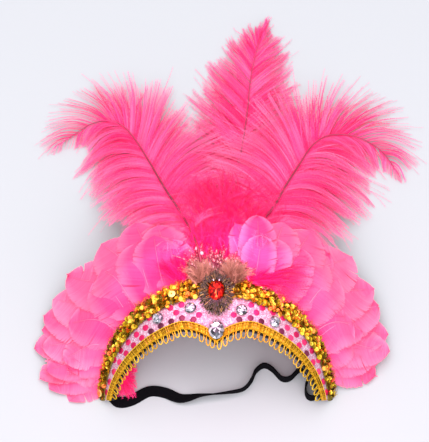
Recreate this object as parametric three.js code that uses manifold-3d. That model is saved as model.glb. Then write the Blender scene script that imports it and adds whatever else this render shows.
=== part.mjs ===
import * as THREE from 'three';
import { mergeVertices } from 'three/addons/utils/BufferGeometryUtils.js';
import Module from 'manifold-3d';

// Carnival feather headdress, lying on its back with the front of the band upwards.
// Millimetres, +Z up, +Y from the band's ends towards the plume tips, +X to the wearer's left.

const wasm = await Module();
wasm.setup();

const DEG = Math.PI / 180;
const gap = 0.3; // between pieces that touch

// The band is a crescent cut from a cone. Its front generator lies level, its two ends stand on the table.
const band = {
  flare: 34.8 * DEG, // half-angle of the cone
  reach: 154.3, // from the cone's tip to the inner edge
  frontWidth: 41.3,
  endWidth: 13.3,
  wrapInner: 78.6 * DEG, // how far the inner edge goes round, from the front
  wrapOuter: 83.4 * DEG, // the same for the outer edge
  footTrim: 3, // taken off the outer corner of each end, so that it stands flat
  dipDepth: 17, // point over the forehead
  dipHalf: 30,
  backing: 3,
  backingShow: 1.2, // black rim past the inner edge
  rimInset: 1, // backing short of the outer edge
  stations: 36,
};
const header = { front: 7, end: 4.5, thick: 1.8 };
const loops = { count: 34, length: 8, half: 2.4, wire: 0.62, sides: 5, steps: 4, bury: 1.6, span: 0.97 };
const cloth = {
  thick: 1, dotRadius: 2.7, dotRaise: 0.6, dotSides: 6, dotPitch: 9.2, rowPitch: 6.3, dotRows: 3,
};
const braid = { front: 15, end: 6, thick: 2.2, ridge: 1.1, scallop: 1.2, repeats: 24 };
const ruff = { width: 28, length: 40, height: 5.4, seat: 3.2, rays: 24, at: 27 };
const redStone = { width: 13, length: 18, height: 4.6, sides: 12 };
const ovalStone = { width: 13, length: 18, height: 5, sides: 12, at: -6 };
const roundStone = { width: 10, height: 4, sides: 8 };
const sequin = { radius: 3.2, hole: 0.7, thick: 1, sides: 8, places: [-0.235, -0.95] };
const strap = { width: 9, thick: 1.4, step: 7 };

// Feathers lie on one slope that runs from under the band's outer rim down to the table.
const slope = {
  centre: -8, // Y of the point that the fans spread from
  frontRun: 200, // run of the slope straight ahead
  sideRun: 55, // and straight to the side
  low: 1.25, // height where it has run out
  stackStart: 4, // where the layers begin to part
  stackFull: 36,
  stackInner: 75, // layers stay parted out to this X
  stackOuter: 125, // and are together again from here
};
const goose = {
  reach: 88, width: 38, thick: 1, quill: 0.6, quillHalf: 1.3, bend: 0.4,
  roll: 0.26, stack: 19, lift: 3.8, tuck: 9,
};
const innerFeather = { at: -0.76, width: 15, tip: 0.15 }; // place along the band; tip ahead of the feet
const plume = {
  reach: 301, // of the tallest shaft past its foot
  barb: 72, // longest barb
  stackStep: 5.5, // height between the layers of the three plumes
  footStep: 10, // across, between the feet of the plumes
  shaftRoot: 2, shaftTip: 0.9, lockThick: 2.2, locks: 9, notch: 0.72, lift: 1, rib: 0.07, tuck: 10, sides: 6,
  spreadFoot: 62, spreadTip: 38, curl: 16, // degrees: barbs to the shaft, and their outer halves further out
  overlap: 0.03, // bare shaft under the first barbs
};
const tuft = { width: 6, thick: 1.7, rise: 8, sink: 0.42, short: 0.82, bow: 0.4 };

const endDrop = Math.sin(band.flare) * Math.cos(band.flare) * (1 - Math.cos(band.wrapOuter));
const frontHeight = (band.reach + band.endWidth) * endDrop - band.footTrim;

// Ease from the front of the band to its ends, as its width does.
const fromFront = (a) => Math.cos(Math.min(1, Math.abs(a)) * Math.PI / 2);
const between = (end, front, a) => end + (front - end) * fromFront(a);
const smooth = (lo, hi, x) => THREE.MathUtils.smoothstep(x, lo, hi);
const bandWidth = (a) => between(band.endWidth, band.frontWidth, a);
const outerEdge = (a) => band.reach + bandWidth(a);

function innerEdge(a) {
  const along = Math.abs(a) * band.wrapInner * band.reach * Math.sin(band.flare);
  return band.reach - band.dipDepth * Math.max(0, 1 - along / band.dipHalf) ** 1.5;
}

// Place on the band: a from -1 to 1 along it, s from the cone's tip, n out of its surface.
function bandFrame(a, s) {
  const share = THREE.MathUtils.clamp((s - band.reach) / bandWidth(a), 0, 1);
  const turn = a * THREE.MathUtils.lerp(band.wrapInner, band.wrapOuter, share);
  const [sf, cf] = [Math.sin(band.flare), Math.cos(band.flare)];
  const out = new THREE.Vector3(
    sf * Math.sin(turn),
    cf * cf + sf * sf * Math.cos(turn),
    -sf * cf * (1 - Math.cos(turn)),
  );
  const along = new THREE.Vector3(Math.cos(turn), -sf * Math.sin(turn), -cf * Math.sin(turn));
  return { out, along, normal: new THREE.Vector3().crossVectors(along, out) };
}

const coneTip = new THREE.Vector3(0, 0, frontHeight);
coneTip.y = -bandFrame(1, band.reach).out.y * band.reach;

function onBand(a, s, n = 0) {
  const { out, normal } = bandFrame(a, s);
  return coneTip.clone().addScaledVector(out, s).addScaledVector(normal, n);
}

const foot = onBand(1, band.reach); // inner corner of the end that stands on the table at +X

// a for a distance x along the band from its front, at s.
function alongAt(x, s) {
  return x / (s * Math.sin(band.flare) * band.wrapInner);
}

function bandMatrix(a, s, n) {
  const { along, out, normal } = bandFrame(a, s);
  return new THREE.Matrix4().makeBasis(along, out, normal).setPosition(onBand(a, s, n));
}

// Each vertex of a plain geometry goes where place(x, y, z) says.
function shape(geometry, place) {
  const at = geometry.attributes.position;
  for (let i = 0; i < at.count; i += 1) {
    at.setXYZ(i, ...place(at.getX(i), at.getY(i), at.getZ(i)));
  }
  return geometry;
}

function toSolid(geometry) {
  const bare = geometry.clone();
  bare.deleteAttribute('normal');
  bare.deleteAttribute('uv');
  const merged = mergeVertices(bare, 1e-4);
  return new wasm.Manifold(new wasm.Mesh({
    numProp: 3,
    vertProperties: new Float32Array(merged.attributes.position.array),
    triVerts: new Uint32Array(merged.index.array),
  }));
}

function toGeometry(solid) {
  const mesh = solid.getMesh();
  const geometry = new THREE.BufferGeometry();
  geometry.setAttribute('position', new THREE.BufferAttribute(new Float32Array(mesh.vertProperties), 3));
  geometry.setIndex(new THREE.BufferAttribute(new Uint32Array(mesh.triVerts), 1));
  geometry.computeVertexNormals();
  return geometry;
}

function fuse(geometries) {
  return geometries.map(toSolid).reduce((whole, next) => whole.add(next));
}

// What stands on the table ends level with it.
function standing(solid) {
  const side = 2 * band.reach;
  const table = new THREE.BoxGeometry(2 * side, 2 * side, side).translate(0, 0, -side / 2);
  return solid.subtract(toSolid(table));
}

const group = new THREE.Group();

function piece(name, geometry, finish) {
  const mesh = new THREE.Mesh(geometry, new THREE.MeshStandardMaterial(finish));
  mesh.name = name;
  group.add(mesh);
}

const black = { color: 0x141216, roughness: 0.95, metalness: 0 };
const clothPink = { color: 0xe2bfcb, roughness: 0.55, metalness: 0.1 };
const gold = { color: 0xd4b02a, roughness: 0.32, metalness: 0.9 };
const bronze = { color: 0x4a3f22, roughness: 0.35, metalness: 0.5 };
const clear = { color: 0xe6e8ec, roughness: 0.05, metalness: 0.1 };
const red = { color: 0xd01008, roughness: 0.06, metalness: 0 };
const ostrichPink = { color: 0xff4d90, roughness: 0.9, metalness: 0 };
const goosePink = { color: 0xff69b4, roughness: 0.8, metalness: 0 };
const hotPink = { color: 0xff0066, roughness: 0.9, metalness: 0 };
const tan = { color: 0xa5745f, roughness: 0.95, metalness: 0 };

// A strip of the band between two edges, with an optional relief on its outer face.
function bandStrip({ stations, across = 1, from, to, under, top, relief = () => 0, edge = () => 0 }) {
  const block = new THREE.BoxGeometry(1, 1, 1, stations, across, 1);
  return shape(block, (x, y, z) => {
    const a = 2 * x;
    const share = y + 0.5;
    const station = Math.round((x + 0.5) * stations);
    const s = THREE.MathUtils.lerp(from(a), to(a), share) + (share === 1 ? edge(station) : 0);
    const n = z > 0 ? top + relief(station, Math.round(share * across)) : under;
    return onBand(a, s, n).toArray();
  });
}

const headerWidth = (a) => between(header.end, header.front, a);
const braidWidth = (a) => between(braid.end, braid.front, a);
const braidInner = (a) => outerEdge(a) - braidWidth(a);
const headerOuter = (a) => innerEdge(a) + headerWidth(a);
const clothTop = gap + cloth.thick;
const headerTop = gap + header.thick;
const braidTop = gap + braid.thick + braid.ridge;

function makeBacking() {
  const strip = bandStrip({
    stations: band.stations,
    from: (a) => innerEdge(a) - band.backingShow,
    to: (a) => outerEdge(a) - band.rimInset,
    under: -band.backing,
    top: 0,
  });
  piece('band_backing', toGeometry(standing(toSolid(strip))), black);
}

// Stones on the cloth, in widths of the band's front: along it, and up from the inner edge of the cone.
const stones = [
  { name: 'round_stone_1', along: -1.162, above: 0.412 },
  { name: 'round_stone_2', along: -0.496, above: 0.4 },
  { name: 'round_stone_3', along: 0.484, above: 0.351 },
  { name: 'round_stone_4', along: 1.162, above: 0.339 },
].map(({ name, along, above }) => ({ name, x: along * band.frontWidth, up: above * band.frontWidth }));

function cutStone({ width, length = width, height, sides }) {
  const [table, crown, girdle, back] = [0.56, 0.86, 1, 0.9];
  const outline = [
    [0, 0], [back, 0], [girdle, 0.16], [girdle, 0.32], [crown, 0.66], [table, 1], [0, 1],
  ].map(([r, h]) => new THREE.Vector2(r * width / 2, h * height));
  return new THREE.LatheGeometry(outline, sides).rotateX(Math.PI / 2).scale(1, length / width, 1);
}

function makeStones() {
  for (const { name, x, up } of stones) {
    const s = band.reach + up;
    const stone = cutStone(roundStone).applyMatrix4(bandMatrix(alongAt(x, s), s, clothTop + gap));
    piece(name, stone, clear);
  }
  const low = cutStone(ovalStone);
  low.applyMatrix4(bandMatrix(0, band.reach + ovalStone.at, headerTop + gap));
  piece('oval_stone', low, clear);
}

function makeCloth() {
  const solid = toSolid(bandStrip({
    stations: band.stations,
    from: (a) => headerOuter(a) + gap,
    to: (a) => braidInner(a) - gap,
    under: gap,
    top: clothTop,
  }));
  const keepOut = [
    ...stones.map((stone) => ({ ...stone, clear: roundStone.width / 2 })),
    { x: 0, up: ovalStone.at, clear: ovalStone.length / 2 },
  ];
  const dots = [];
  const spread = band.reach * Math.sin(band.flare) * band.wrapInner;
  const most = Math.ceil(spread / cloth.dotPitch);
  for (let row = 0; row < cloth.dotRows; row += 1) {
    for (let i = -most; i <= most; i += 1) {
      const x = (i + (row % 2) / 2) * cloth.dotPitch;
      const s = headerOuter(x / spread) + 2 * gap + cloth.dotRadius + row * cloth.rowPitch;
      const a = alongAt(x, s);
      const up = s - band.reach;
      const fits = Math.abs(a) < 1 && s + cloth.dotRadius + gap < braidInner(a) - gap;
      const free = keepOut.every((k) => Math.hypot(x - k.x, up - k.up) > k.clear + cloth.dotRadius + 2 * gap);
      if (fits && free) {
        const height = cloth.dotRaise + cloth.thick / 2;
        const dot = new THREE.CylinderGeometry(cloth.dotRadius, cloth.dotRadius, height, cloth.dotSides);
        dot.rotateX(Math.PI / 2).applyMatrix4(bandMatrix(a, s, clothTop + cloth.dotRaise - height / 2));
        dots.push(dot);
      }
    }
  }
  const dotted = dots.map(toSolid).reduce((whole, dot) => whole.add(dot), solid);
  piece('sequin_cloth', toGeometry(standing(dotted)), clothPink);
}

function makeBraid() {
  const strip = bandStrip({
    stations: 2 * braid.repeats,
    across: 3,
    from: braidInner,
    to: outerEdge,
    under: gap,
    top: gap + braid.thick,
    relief: (station, row) => ((station + row) % 2 ? braid.ridge : 0),
    edge: (station) => (station % 2 ? braid.scallop : 0),
  });
  piece('sequin_braid', toGeometry(standing(toSolid(strip))), gold);
}

// A tapered limb along a path: width and thickness are full sizes, u runs from 0 to 1.
function limb(path, width, thick, sides, steps) {
  const step = 1e-3;
  return shape(new THREE.CylinderGeometry(1, 1, 1, sides, steps), (x, y, z) => {
    const u = y + 0.5;
    const tangent = path(Math.min(1, u + step)).sub(path(Math.max(0, u - step))).normalize();
    const side = tangent.clone().cross(new THREE.Vector3(0, 0, 1)).normalize();
    const up = side.clone().cross(tangent);
    const at = path(u);
    return at.addScaledVector(side, x * width(u) / 2).addScaledVector(up, z * thick(u) / 2).toArray();
  });
}

function makeGimp() {
  const strip = bandStrip({
    stations: band.stations,
    from: innerEdge,
    to: headerOuter,
    under: gap,
    top: headerTop,
  });
  let solid = toSolid(strip);
  const middle = gap + header.thick / 2;
  for (let i = 0; i < loops.count; i += 1) {
    const a = loops.span * ((2 * i + 1) / loops.count - 1);
    const wide = loops.half / (band.reach * Math.sin(band.flare) * band.wrapInner);
    const wire = (u) => {
      const turn = Math.PI * u;
      const at = a - wide * Math.cos(turn);
      return onBand(at, innerEdge(a) + loops.bury - (loops.length + loops.bury) * Math.sin(turn), middle);
    };
    const thin = () => 2 * loops.wire;
    solid = solid.add(toSolid(limb(wire, thin, thin, loops.sides, loops.steps)));
  }
  piece('loop_gimp', toGeometry(standing(solid)), gold);
}

function makeBrooch() {
  const { width, height, seat, rays } = ruff;
  const inner = redStone.width / 2 + gap;
  const outline = [
    [0, 0], [width * 0.43, 0], [width / 2, height * 0.3], [width * 0.47, height * 0.7],
    [width * 0.38, height], [inner + 1.2, height], [inner, height * 0.8], [inner, seat], [0, seat],
  ].map(([r, h]) => new THREE.Vector2(r, h));
  const body = new THREE.LatheGeometry(outline, rays).rotateX(Math.PI / 2);
  const stretch = (r) => THREE.MathUtils.mapLinear(r, inner, width / 2, redStone.length / redStone.width,
    ruff.length / ruff.width);
  shape(body, (x, y, z) => {
    const r = Math.hypot(x, y);
    const ray = Math.round(Math.atan2(y, x) / (2 * Math.PI) * rays);
    const pinch = r > width * 0.4 && ray % 2 ? 0.9 : 1;
    return [x * pinch, y * pinch * (r > inner ? stretch(r) : redStone.length / redStone.width), z];
  });
  const s = band.reach + ruff.at;
  body.applyMatrix4(bandMatrix(0, s, braidTop + gap));
  piece('bead_ruff', body, bronze);
  const stone = cutStone(redStone).applyMatrix4(bandMatrix(0, s, braidTop + gap + seat + gap));
  piece('centre_stone', stone, red);
}

function makeSequins() {
  sequin.places.forEach((a, i) => {
    const ring = new THREE.LatheGeometry([
      new THREE.Vector2(sequin.hole, 0),
      new THREE.Vector2(sequin.radius, 0),
      new THREE.Vector2(sequin.radius, sequin.thick),
      new THREE.Vector2(sequin.hole, sequin.thick),
      new THREE.Vector2(sequin.hole, 0),
    ], sequin.sides).rotateX(Math.PI / 2);
    const s = outerEdge(a) - braidWidth(a) / 2;
    ring.applyMatrix4(bandMatrix(a, s, braidTop + gap));
    piece(`loose_sequin_${i + 1}`, ring, gold);
  });
}

// The rim that the feathers come out under, found by its direction from the fans' centre.
function rimAt(angle) {
  let [lo, hi] = [-1, 1];
  for (let i = 0; i < 24; i += 1) {
    const mid = (lo + hi) / 2;
    const at = onBand(mid, outerEdge(mid) - band.rimInset, -band.backing);
    if (Math.atan2(at.x, at.y - slope.centre) < angle) lo = mid;
    else hi = mid;
  }
  const rim = onBand(lo, outerEdge(lo) - band.rimInset, -band.backing);
  return { radius: Math.hypot(rim.x, rim.y - slope.centre), height: rim.z };
}

// Height of the slope at a place in plan, for a layer that sits stack above the lowest one.
function slopeHeight(x, y, half, stack, lift) {
  const angle = Math.atan2(x, y - slope.centre);
  const rim = rimAt(angle);
  const past = Math.hypot(x, y - slope.centre) - rim.radius;
  const run = slope.sideRun + (slope.frontRun - slope.sideRun) * Math.max(0, Math.cos(angle)) ** 2;
  const fall = 0.5 + 0.5 * Math.cos(Math.PI * THREE.MathUtils.clamp(past / run, 0, 1));
  const root = rim.height - gap - half;
  const parted = smooth(slope.stackStart, slope.stackFull, past) *
    (1 - smooth(slope.stackInner, slope.stackOuter, Math.abs(x)));
  const low = slope.low + lift;
  return low + (root - low) * fall + stack * parted;
}

// Plan point from a direction and a distance past the rim.
function fromRim(angle, past) {
  const r = rimAt(angle).radius + past;
  return new THREE.Vector2(r * Math.sin(angle), slope.centre + r * Math.cos(angle));
}

// Goose feathers: degrees from straight ahead, shares of the longest reach past the rim and of the widest vane.
const leftFan = [
  { root: -20, tip: -17, past: 0.705, width: 0.895 },
  { root: -28, tip: -26, past: 0.864, width: 1 },
  { root: -36, tip: -36, past: 0.9, width: 1 },
  { root: -43, tip: -44.5, past: 0.92, width: 1 },
  { root: -49, tip: -52.5, past: 0.88, width: 1 },
  { root: -55, tip: -61, past: 0.864, width: 0.895 },
  { root: -60, tip: -68, past: 0.71, width: 0.842 },
  { root: -64.5, tip: -74.5, past: 0.62, width: 0.763 },
  { root: -69, tip: -80, past: 0.46, width: 0.632 },
];
const rightFan = [
  { root: 19, tip: 15, past: 0.682, width: 0.737 },
  { root: 25, tip: 24, past: 0.75, width: 0.947 },
  { root: 33, tip: 33, past: 0.841, width: 1 },
  { root: 40, tip: 42.5, past: 1, width: 1.053 },
  { root: 47, tip: 50, past: 0.909, width: 1 },
  { root: 53.5, tip: 58, past: 0.818, width: 0.947 },
  { root: 59.5, tip: 65.5, past: 0.69, width: 0.895 },
  { root: 65, tip: 72.5, past: 0.58, width: 0.816 },
];
const vane = [
  { at: 0, width: 0 },
  { at: 0.15, width: 0 },
  { at: 0.26, width: 0.5 },
  { at: 0.45, width: 0.85 },
  { at: 0.65, width: 1 },
  { at: 0.82, width: 0.86 },
  { at: 0.94, width: 0.55 },
  { at: 1, width: 0.12 },
];

function gooseFeather({ root, tip, past, width }, side) {
  const start = fromRim(root * DEG, -goose.tuck);
  const bend = fromRim(root * DEG, past * goose.reach * goose.bend);
  const quill = new THREE.QuadraticBezierCurve(start, bend, fromRim(tip * DEG, past * goose.reach));
  const steps = vane.length - 1;
  return shape(new THREE.BoxGeometry(1, 1, 1, 2, steps, 1), (x, y, z) => {
    const { at, width: share } = vane[Math.round((y + 0.5) * steps)];
    const centre = quill.getPoint(at);
    const tangent = quill.getTangent(at);
    const half = Math.max(goose.quillHalf, share * width * goose.width / 2);
    const across = 2 * x * half;
    const px = centre.x + tangent.y * across;
    const py = centre.y - tangent.x * across;
    const rib = z > 0 && x === 0 ? goose.quill : 0;
    const sheet = slopeHeight(px, py, goose.thick / 2 + goose.quill, goose.stack, goose.lift);
    return [px, py, sheet + side * goose.roll * across + z * goose.thick + rib];
  });
}

// The feather that hangs inside the arch at one side, from the backing down to the table.
function makeInnerFeather() {
  const root = onBand(innerFeather.at, band.reach + band.endWidth, -band.backing - 2 * gap - goose.thick);
  const tip = new THREE.Vector3(root.x * 0.86, foot.x * innerFeather.tip, goose.thick);
  const bend = new THREE.Vector3(root.x * 0.95, root.y * 0.8, 2 * goose.thick);
  const quill = new THREE.QuadraticBezierCurve3(root, bend, tip);
  const width = (t) => 2 * goose.quillHalf + innerFeather.width * Math.sin(Math.PI * t ** 0.8);
  piece('inner_feather', limb((t) => quill.getPoint(t), width, () => goose.thick, 4, 6), hotPink);
}

function makeGoose() {
  makeInnerFeather();
  leftFan.forEach((row, i) => piece(`goose_feather_left_${i + 1}`, gooseFeather(row, -1), goosePink));
  rightFan.forEach((row, i) => piece(`goose_feather_right_${i + 1}`, gooseFeather(row, 1), goosePink));
}

// Ostrich plumes: foot, height, longest barb and layer in shares of the sizes above. Shaft points are shares of
// the plume's own height, across and ahead of its foot.
const plumes = [
  {
    name: 'plume_centre', across: 0, tall: 1, long: 0.85, layer: 0, bare: 0.1,
    shaft: [
      [0, 0], [0.017, 0.146], [0.04, 0.329], [0.057, 0.472], [0.076, 0.585], [0.093, 0.724],
      [0.103, 0.834], [0.126, 0.95], [0.141, 1],
    ],
  },
  {
    name: 'plume_left', across: -0.8, tall: 0.671, long: 0.9, layer: 1, bare: 0.24,
    shaft: [
      [0, 0], [-0.048, 0.213], [-0.149, 0.505], [-0.248, 0.767], [-0.337, 0.936], [-0.421, 1],
      [-0.51, 0.99], [-0.594, 0.931], [-0.639, 0.896],
    ],
  },
  {
    name: 'plume_right', across: 1, tall: 0.628, long: 1, layer: 2, bare: 0.24,
    shaft: [
      [0, 0], [0.074, 0.217], [0.196, 0.455], [0.259, 0.63], [0.323, 0.778], [0.394, 0.915],
      [0.476, 0.984], [0.577, 1], [0.661, 0.963], [0.728, 0.899], [0.778, 0.81],
    ],
  },
];
const barbReach = [[0, 0.3], [0.12, 0.7], [0.3, 0.96], [0.55, 1], [0.72, 0.88], [0.88, 0.55], [1, 0.14]];

function fromTable(table, u) {
  const last = table.findIndex(([at]) => at >= u);
  if (last <= 0) return table[last === 0 ? 0 : table.length - 1][1];
  const [[u0, v0], [u1, v1]] = [table[last - 1], table[last]];
  return THREE.MathUtils.mapLinear(u, u0, u1, v0, v1);
}

// Barbs hang together in locks: a sheet along the shaft whose edges run out to a tip at every other station.
function makePlume({ name, across, tall, long, layer, bare, shaft }) {
  const reach = tall * plume.reach;
  const stack = layer * plume.stackStep;
  const start = onBand(0, outerEdge(0) - plume.tuck).y;
  const curve = new THREE.CatmullRomCurve3(
    shaft.map(([x, y]) => new THREE.Vector3(across * plume.footStep + x * reach, start + y * reach, 0)),
  );
  const lay = (p, raise = 0) => p.setZ(slopeHeight(p.x, p.y, plume.shaftRoot + gap, stack, 0) + raise);
  const taper = (u) => 2 * THREE.MathUtils.lerp(plume.shaftRoot, plume.shaftTip, u);
  const stations = 2 * plume.locks;
  const block = new THREE.BoxGeometry(1, 1, 1, 6, stations, 1);
  const columns = [1, 0.5, plume.rib, 0, plume.rib, 0.5, 1];
  const barbs = shape(block, (x, y, z) => {
    const station = Math.round((y + 0.5) * stations);
    const share = station / stations;
    const u = THREE.MathUtils.lerp(bare, 0.995, share);
    const out = columns[Math.round((x + 0.5) * 6)];
    const side = Math.sign(x);
    const tangent = curve.getTangentAt(u);
    const spread = THREE.MathUtils.lerp(plume.spreadFoot, plume.spreadTip, share) * DEG * side;
    const length = long * plume.barb * fromTable(barbReach, share) * (station % 2 ? 1 : plume.notch);
    const heading = Math.atan2(tangent.x, tangent.y) + spread;
    const at = curve.getPointAt(u);
    const tip = heading + side * plume.curl * DEG;
    at.x += length * (Math.min(out, 0.5) * Math.sin(heading) + Math.max(0, out - 0.5) * Math.sin(tip));
    at.y += length * (Math.min(out, 0.5) * Math.cos(heading) + Math.max(0, out - 0.5) * Math.cos(tip));
    const half = out === 0 ? taper(u) / 2 : plume.lockThick * (1 - 0.5 * out) / 2;
    lay(at, (station % 2 ? plume.lift : 0) * out + 2 * z * half);
    return at.toArray();
  });
  const stem = (t) => lay(curve.getPointAt(t * (bare + plume.overlap)));
  const bareShaft = limb(stem, taper, taper, plume.sides, plume.sides - 1);
  piece(name, toGeometry(fuse([bareShaft, barbs])), ostrichPink);
}

// Small tufts on the braid round the ruff. Places are in ruff widths along the band and, up it, in half lengths
// of the ruff from its middle. Directions are in degrees from straight ahead, lengths in ruff lengths.
const tufts = [
  {
    name: 'tan_tuft_left', along: -0.518, above: 0.35,
    from: -75, to: 5, count: 4, length: 0.425, finish: tan,
  },
  {
    name: 'tan_tuft_right', along: 0.518, above: 0.35,
    from: -5, to: 75, count: 4, length: 0.425, finish: tan,
  },
  {
    name: 'spotted_tuft', along: 0, above: 1.15,
    from: -70, to: 70, count: 5, length: 0.6, finish: tan,
  },
  {
    name: 'marabou_left', along: -1, above: 0.4,
    from: -60, to: 10, count: 4, length: 0.6, finish: hotPink,
  },
  {
    name: 'marabou_right', along: 1, above: 0.4,
    from: 15, to: 90, count: 5, length: 0.8, finish: hotPink,
  },
];

function makeTuft({ name, along, above, from, to, count, length, finish }) {
  const s = band.reach + ruff.at + above * ruff.length / 2;
  const a = alongAt(along * ruff.width, s);
  const root = onBand(a, s, braidTop + gap + tuft.width * tuft.sink);
  const parts = [];
  for (let i = 0; i < count; i += 1) {
    const heading = THREE.MathUtils.lerp(from, to, i / (count - 1)) * DEG;
    const reach = length * ruff.length * (i % 2 ? tuft.short : 1);
    const way = new THREE.Vector3(Math.sin(heading), Math.cos(heading), 0);
    const end = root.clone().addScaledVector(way, reach);
    const bow = root.clone().lerp(end, tuft.bow);
    bow.z += tuft.rise;
    end.z += tuft.rise;
    const lock = new THREE.QuadraticBezierCurve3(root, bow, end);
    const width = (t) => tuft.width * (1 - 0.7 * t);
    const thick = (t) => tuft.thick * (1 - 0.4 * t);
    parts.push(limb((t) => lock.getPoint(t), width, thick, 4, 2));
  }
  const head = new THREE.SphereGeometry(tuft.width / 2, 6, 4).translate(root.x, root.y, root.z);
  piece(name, toGeometry(fuse([head, ...parts])), finish);
}

// Route of the strap over the table from the left end of the band to the right one, in shares of the distance
// between the middle and a foot. roll 0 lies flat, 1 stands on its edge.
const strapRoute = [
  { x: -0.987, y: 0.076, roll: 0 },
  { x: -0.927, y: 0.023, roll: 0 },
  { x: -0.811, y: 0.046, roll: 0 },
  { x: -0.649, y: 0.139, roll: 0 },
  { x: -0.498, y: 0.127, roll: 0 },
  { x: -0.336, y: 0.058, roll: 0.2 },
  { x: -0.139, y: 0.081, roll: 0.6 },
  { x: 0.093, y: 0.104, roll: 0.8 },
  { x: 0.255, y: 0.139, roll: 0.9 },
  { x: 0.336, y: 0.232, roll: 1 },
  { x: 0.382, y: 0.336, roll: 1 },
  { x: 0.463, y: 0.394, roll: 1 },
  { x: 0.544, y: 0.348, roll: 1 },
  { x: 0.626, y: 0.255, roll: 1 },
  { x: 0.707, y: 0.255, roll: 1 },
  { x: 0.788, y: 0.336, roll: 1 },
  { x: 0.846, y: 0.359, roll: 1 },
  { x: 0.88, y: 0.278, roll: 1 },
  { x: 0.857, y: 0.162, roll: 1 },
  { x: 0.869, y: 0.07, roll: 1 },
  { x: 0.927, y: 0.046, roll: 1 },
  { x: 0.962, y: 0.093, roll: 1 },
];

function makeStrap() {
  const points = strapRoute.map(({ x, y }) => new THREE.Vector3(x * foot.x, y * foot.x, 0));
  const curve = new THREE.CatmullRomCurve3(points);
  const steps = Math.round(curve.getLength() / strap.step);
  const ribbon = shape(new THREE.BoxGeometry(1, 1, 1, 1, steps, 1), (x, y, z) => {
    const u = y + 0.5;
    const t = curve.getUtoTmapping(u) * (strapRoute.length - 1);
    const i = Math.min(strapRoute.length - 2, Math.floor(t));
    const roll = THREE.MathUtils.lerp(strapRoute[i].roll, strapRoute[i + 1].roll, t - i) * Math.PI / 2;
    const tangent = curve.getTangentAt(u);
    const side = new THREE.Vector3(tangent.y, -tangent.x, 0);
    const up = new THREE.Vector3(0, 0, 1);
    const wide = side.clone().multiplyScalar(Math.cos(roll)).addScaledVector(up, Math.sin(roll));
    const flat = up.clone().multiplyScalar(Math.cos(roll)).addScaledVector(side, -Math.sin(roll));
    const centre = curve.getPointAt(u);
    centre.z = (strap.width * Math.sin(roll) + strap.thick * Math.cos(roll)) / 2;
    return centre.addScaledVector(wide, x * strap.width).addScaledVector(flat, z * strap.thick).toArray();
  });
  piece('elastic_strap', ribbon, black);
}

makeBacking();
makeCloth();
makeStones();
makeBraid();
makeGimp();
makeBrooch();
makeSequins();
makeStrap();
makeGoose();
plumes.forEach(makePlume);
tufts.forEach(makeTuft);

// The origin is the middle of the bounding box's base.
const box = new THREE.Box3().setFromObject(group);
const middle = box.getCenter(new THREE.Vector3());
for (const mesh of group.children) {
  mesh.geometry.translate(-middle.x, -middle.y, 0);
}

export default group;
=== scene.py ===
import math
import bpy
import numpy as np
from mathutils import Matrix, Vector


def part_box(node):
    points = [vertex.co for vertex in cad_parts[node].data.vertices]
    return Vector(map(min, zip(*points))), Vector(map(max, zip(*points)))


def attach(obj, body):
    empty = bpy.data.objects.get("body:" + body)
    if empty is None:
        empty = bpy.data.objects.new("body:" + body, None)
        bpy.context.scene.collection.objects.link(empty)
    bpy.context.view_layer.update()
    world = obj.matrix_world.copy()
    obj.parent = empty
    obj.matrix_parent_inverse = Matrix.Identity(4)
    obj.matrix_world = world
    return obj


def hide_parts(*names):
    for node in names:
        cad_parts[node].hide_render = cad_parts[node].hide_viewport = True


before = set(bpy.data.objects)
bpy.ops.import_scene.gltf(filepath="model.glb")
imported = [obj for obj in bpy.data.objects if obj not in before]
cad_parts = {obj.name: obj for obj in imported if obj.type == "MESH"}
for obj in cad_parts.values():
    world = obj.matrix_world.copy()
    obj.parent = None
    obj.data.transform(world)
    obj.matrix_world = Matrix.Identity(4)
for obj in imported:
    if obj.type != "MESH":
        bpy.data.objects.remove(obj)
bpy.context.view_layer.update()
print("CAD frame loaded")

# Sizes are in mm in the band's own frame: Y from the ends of the band to the plume tips, Z up from the table.
mm = 0.001
degrees = math.pi / 180
gap = 0.3  # between pieces that touch
tableGap = 0.02

band = {
    "flare": 34.8 * degrees, "reach": 154.3, "frontWidth": 41.3, "endWidth": 13.3,
    "wrapInner": 78.6 * degrees, "wrapOuter": 83.4 * degrees, "footTrim": 3,
    "dipDepth": 17, "dipHalf": 30, "backing": 3, "backingShow": 1.2, "rimInset": 1,
}
header = {"front": 7, "end": 4.5, "thick": 1.8}
braid = {"front": 15, "end": 6, "thick": 2.2, "ridge": 1.1}
clothThick = 1
clothTop = gap + clothThick
headerTop = gap + header["thick"]
braidTop = gap + braid["thick"] + braid["ridge"]


def fromFront(a):
    return np.cos(np.minimum(1, np.abs(a)) * np.pi / 2)


def between(end, front, a):
    return end + (front - end) * fromFront(a)


def bandWidth(a):
    return between(band["endWidth"], band["frontWidth"], a)


def outerEdge(a):
    return band["reach"] + bandWidth(a)


def innerEdge(a):
    along = np.abs(a) * band["wrapInner"] * band["reach"] * math.sin(band["flare"])
    return band["reach"] - band["dipDepth"] * np.maximum(0, 1 - along / band["dipHalf"]) ** 1.5


def headerOuter(a):
    return innerEdge(a) + between(header["end"], header["front"], a)


def braidInner(a):
    return outerEdge(a) - between(braid["end"], braid["front"], a)


def bandAxes(a, s):
    # directions along the band, out across it and off its face
    a, s = np.broadcast_arrays(np.asarray(a, float), np.asarray(s, float))
    share = np.clip((s - band["reach"]) / bandWidth(a), 0, 1)
    turn = a * (band["wrapInner"] + (band["wrapOuter"] - band["wrapInner"]) * share)
    sf, cf = math.sin(band["flare"]), math.cos(band["flare"])
    out = np.stack([sf * np.sin(turn), cf * cf + sf * sf * np.cos(turn), -sf * cf * (1 - np.cos(turn))], -1)
    along = np.stack([np.cos(turn), -sf * np.sin(turn), -cf * np.sin(turn)], -1)
    return along, out, np.cross(along, out)


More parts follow.
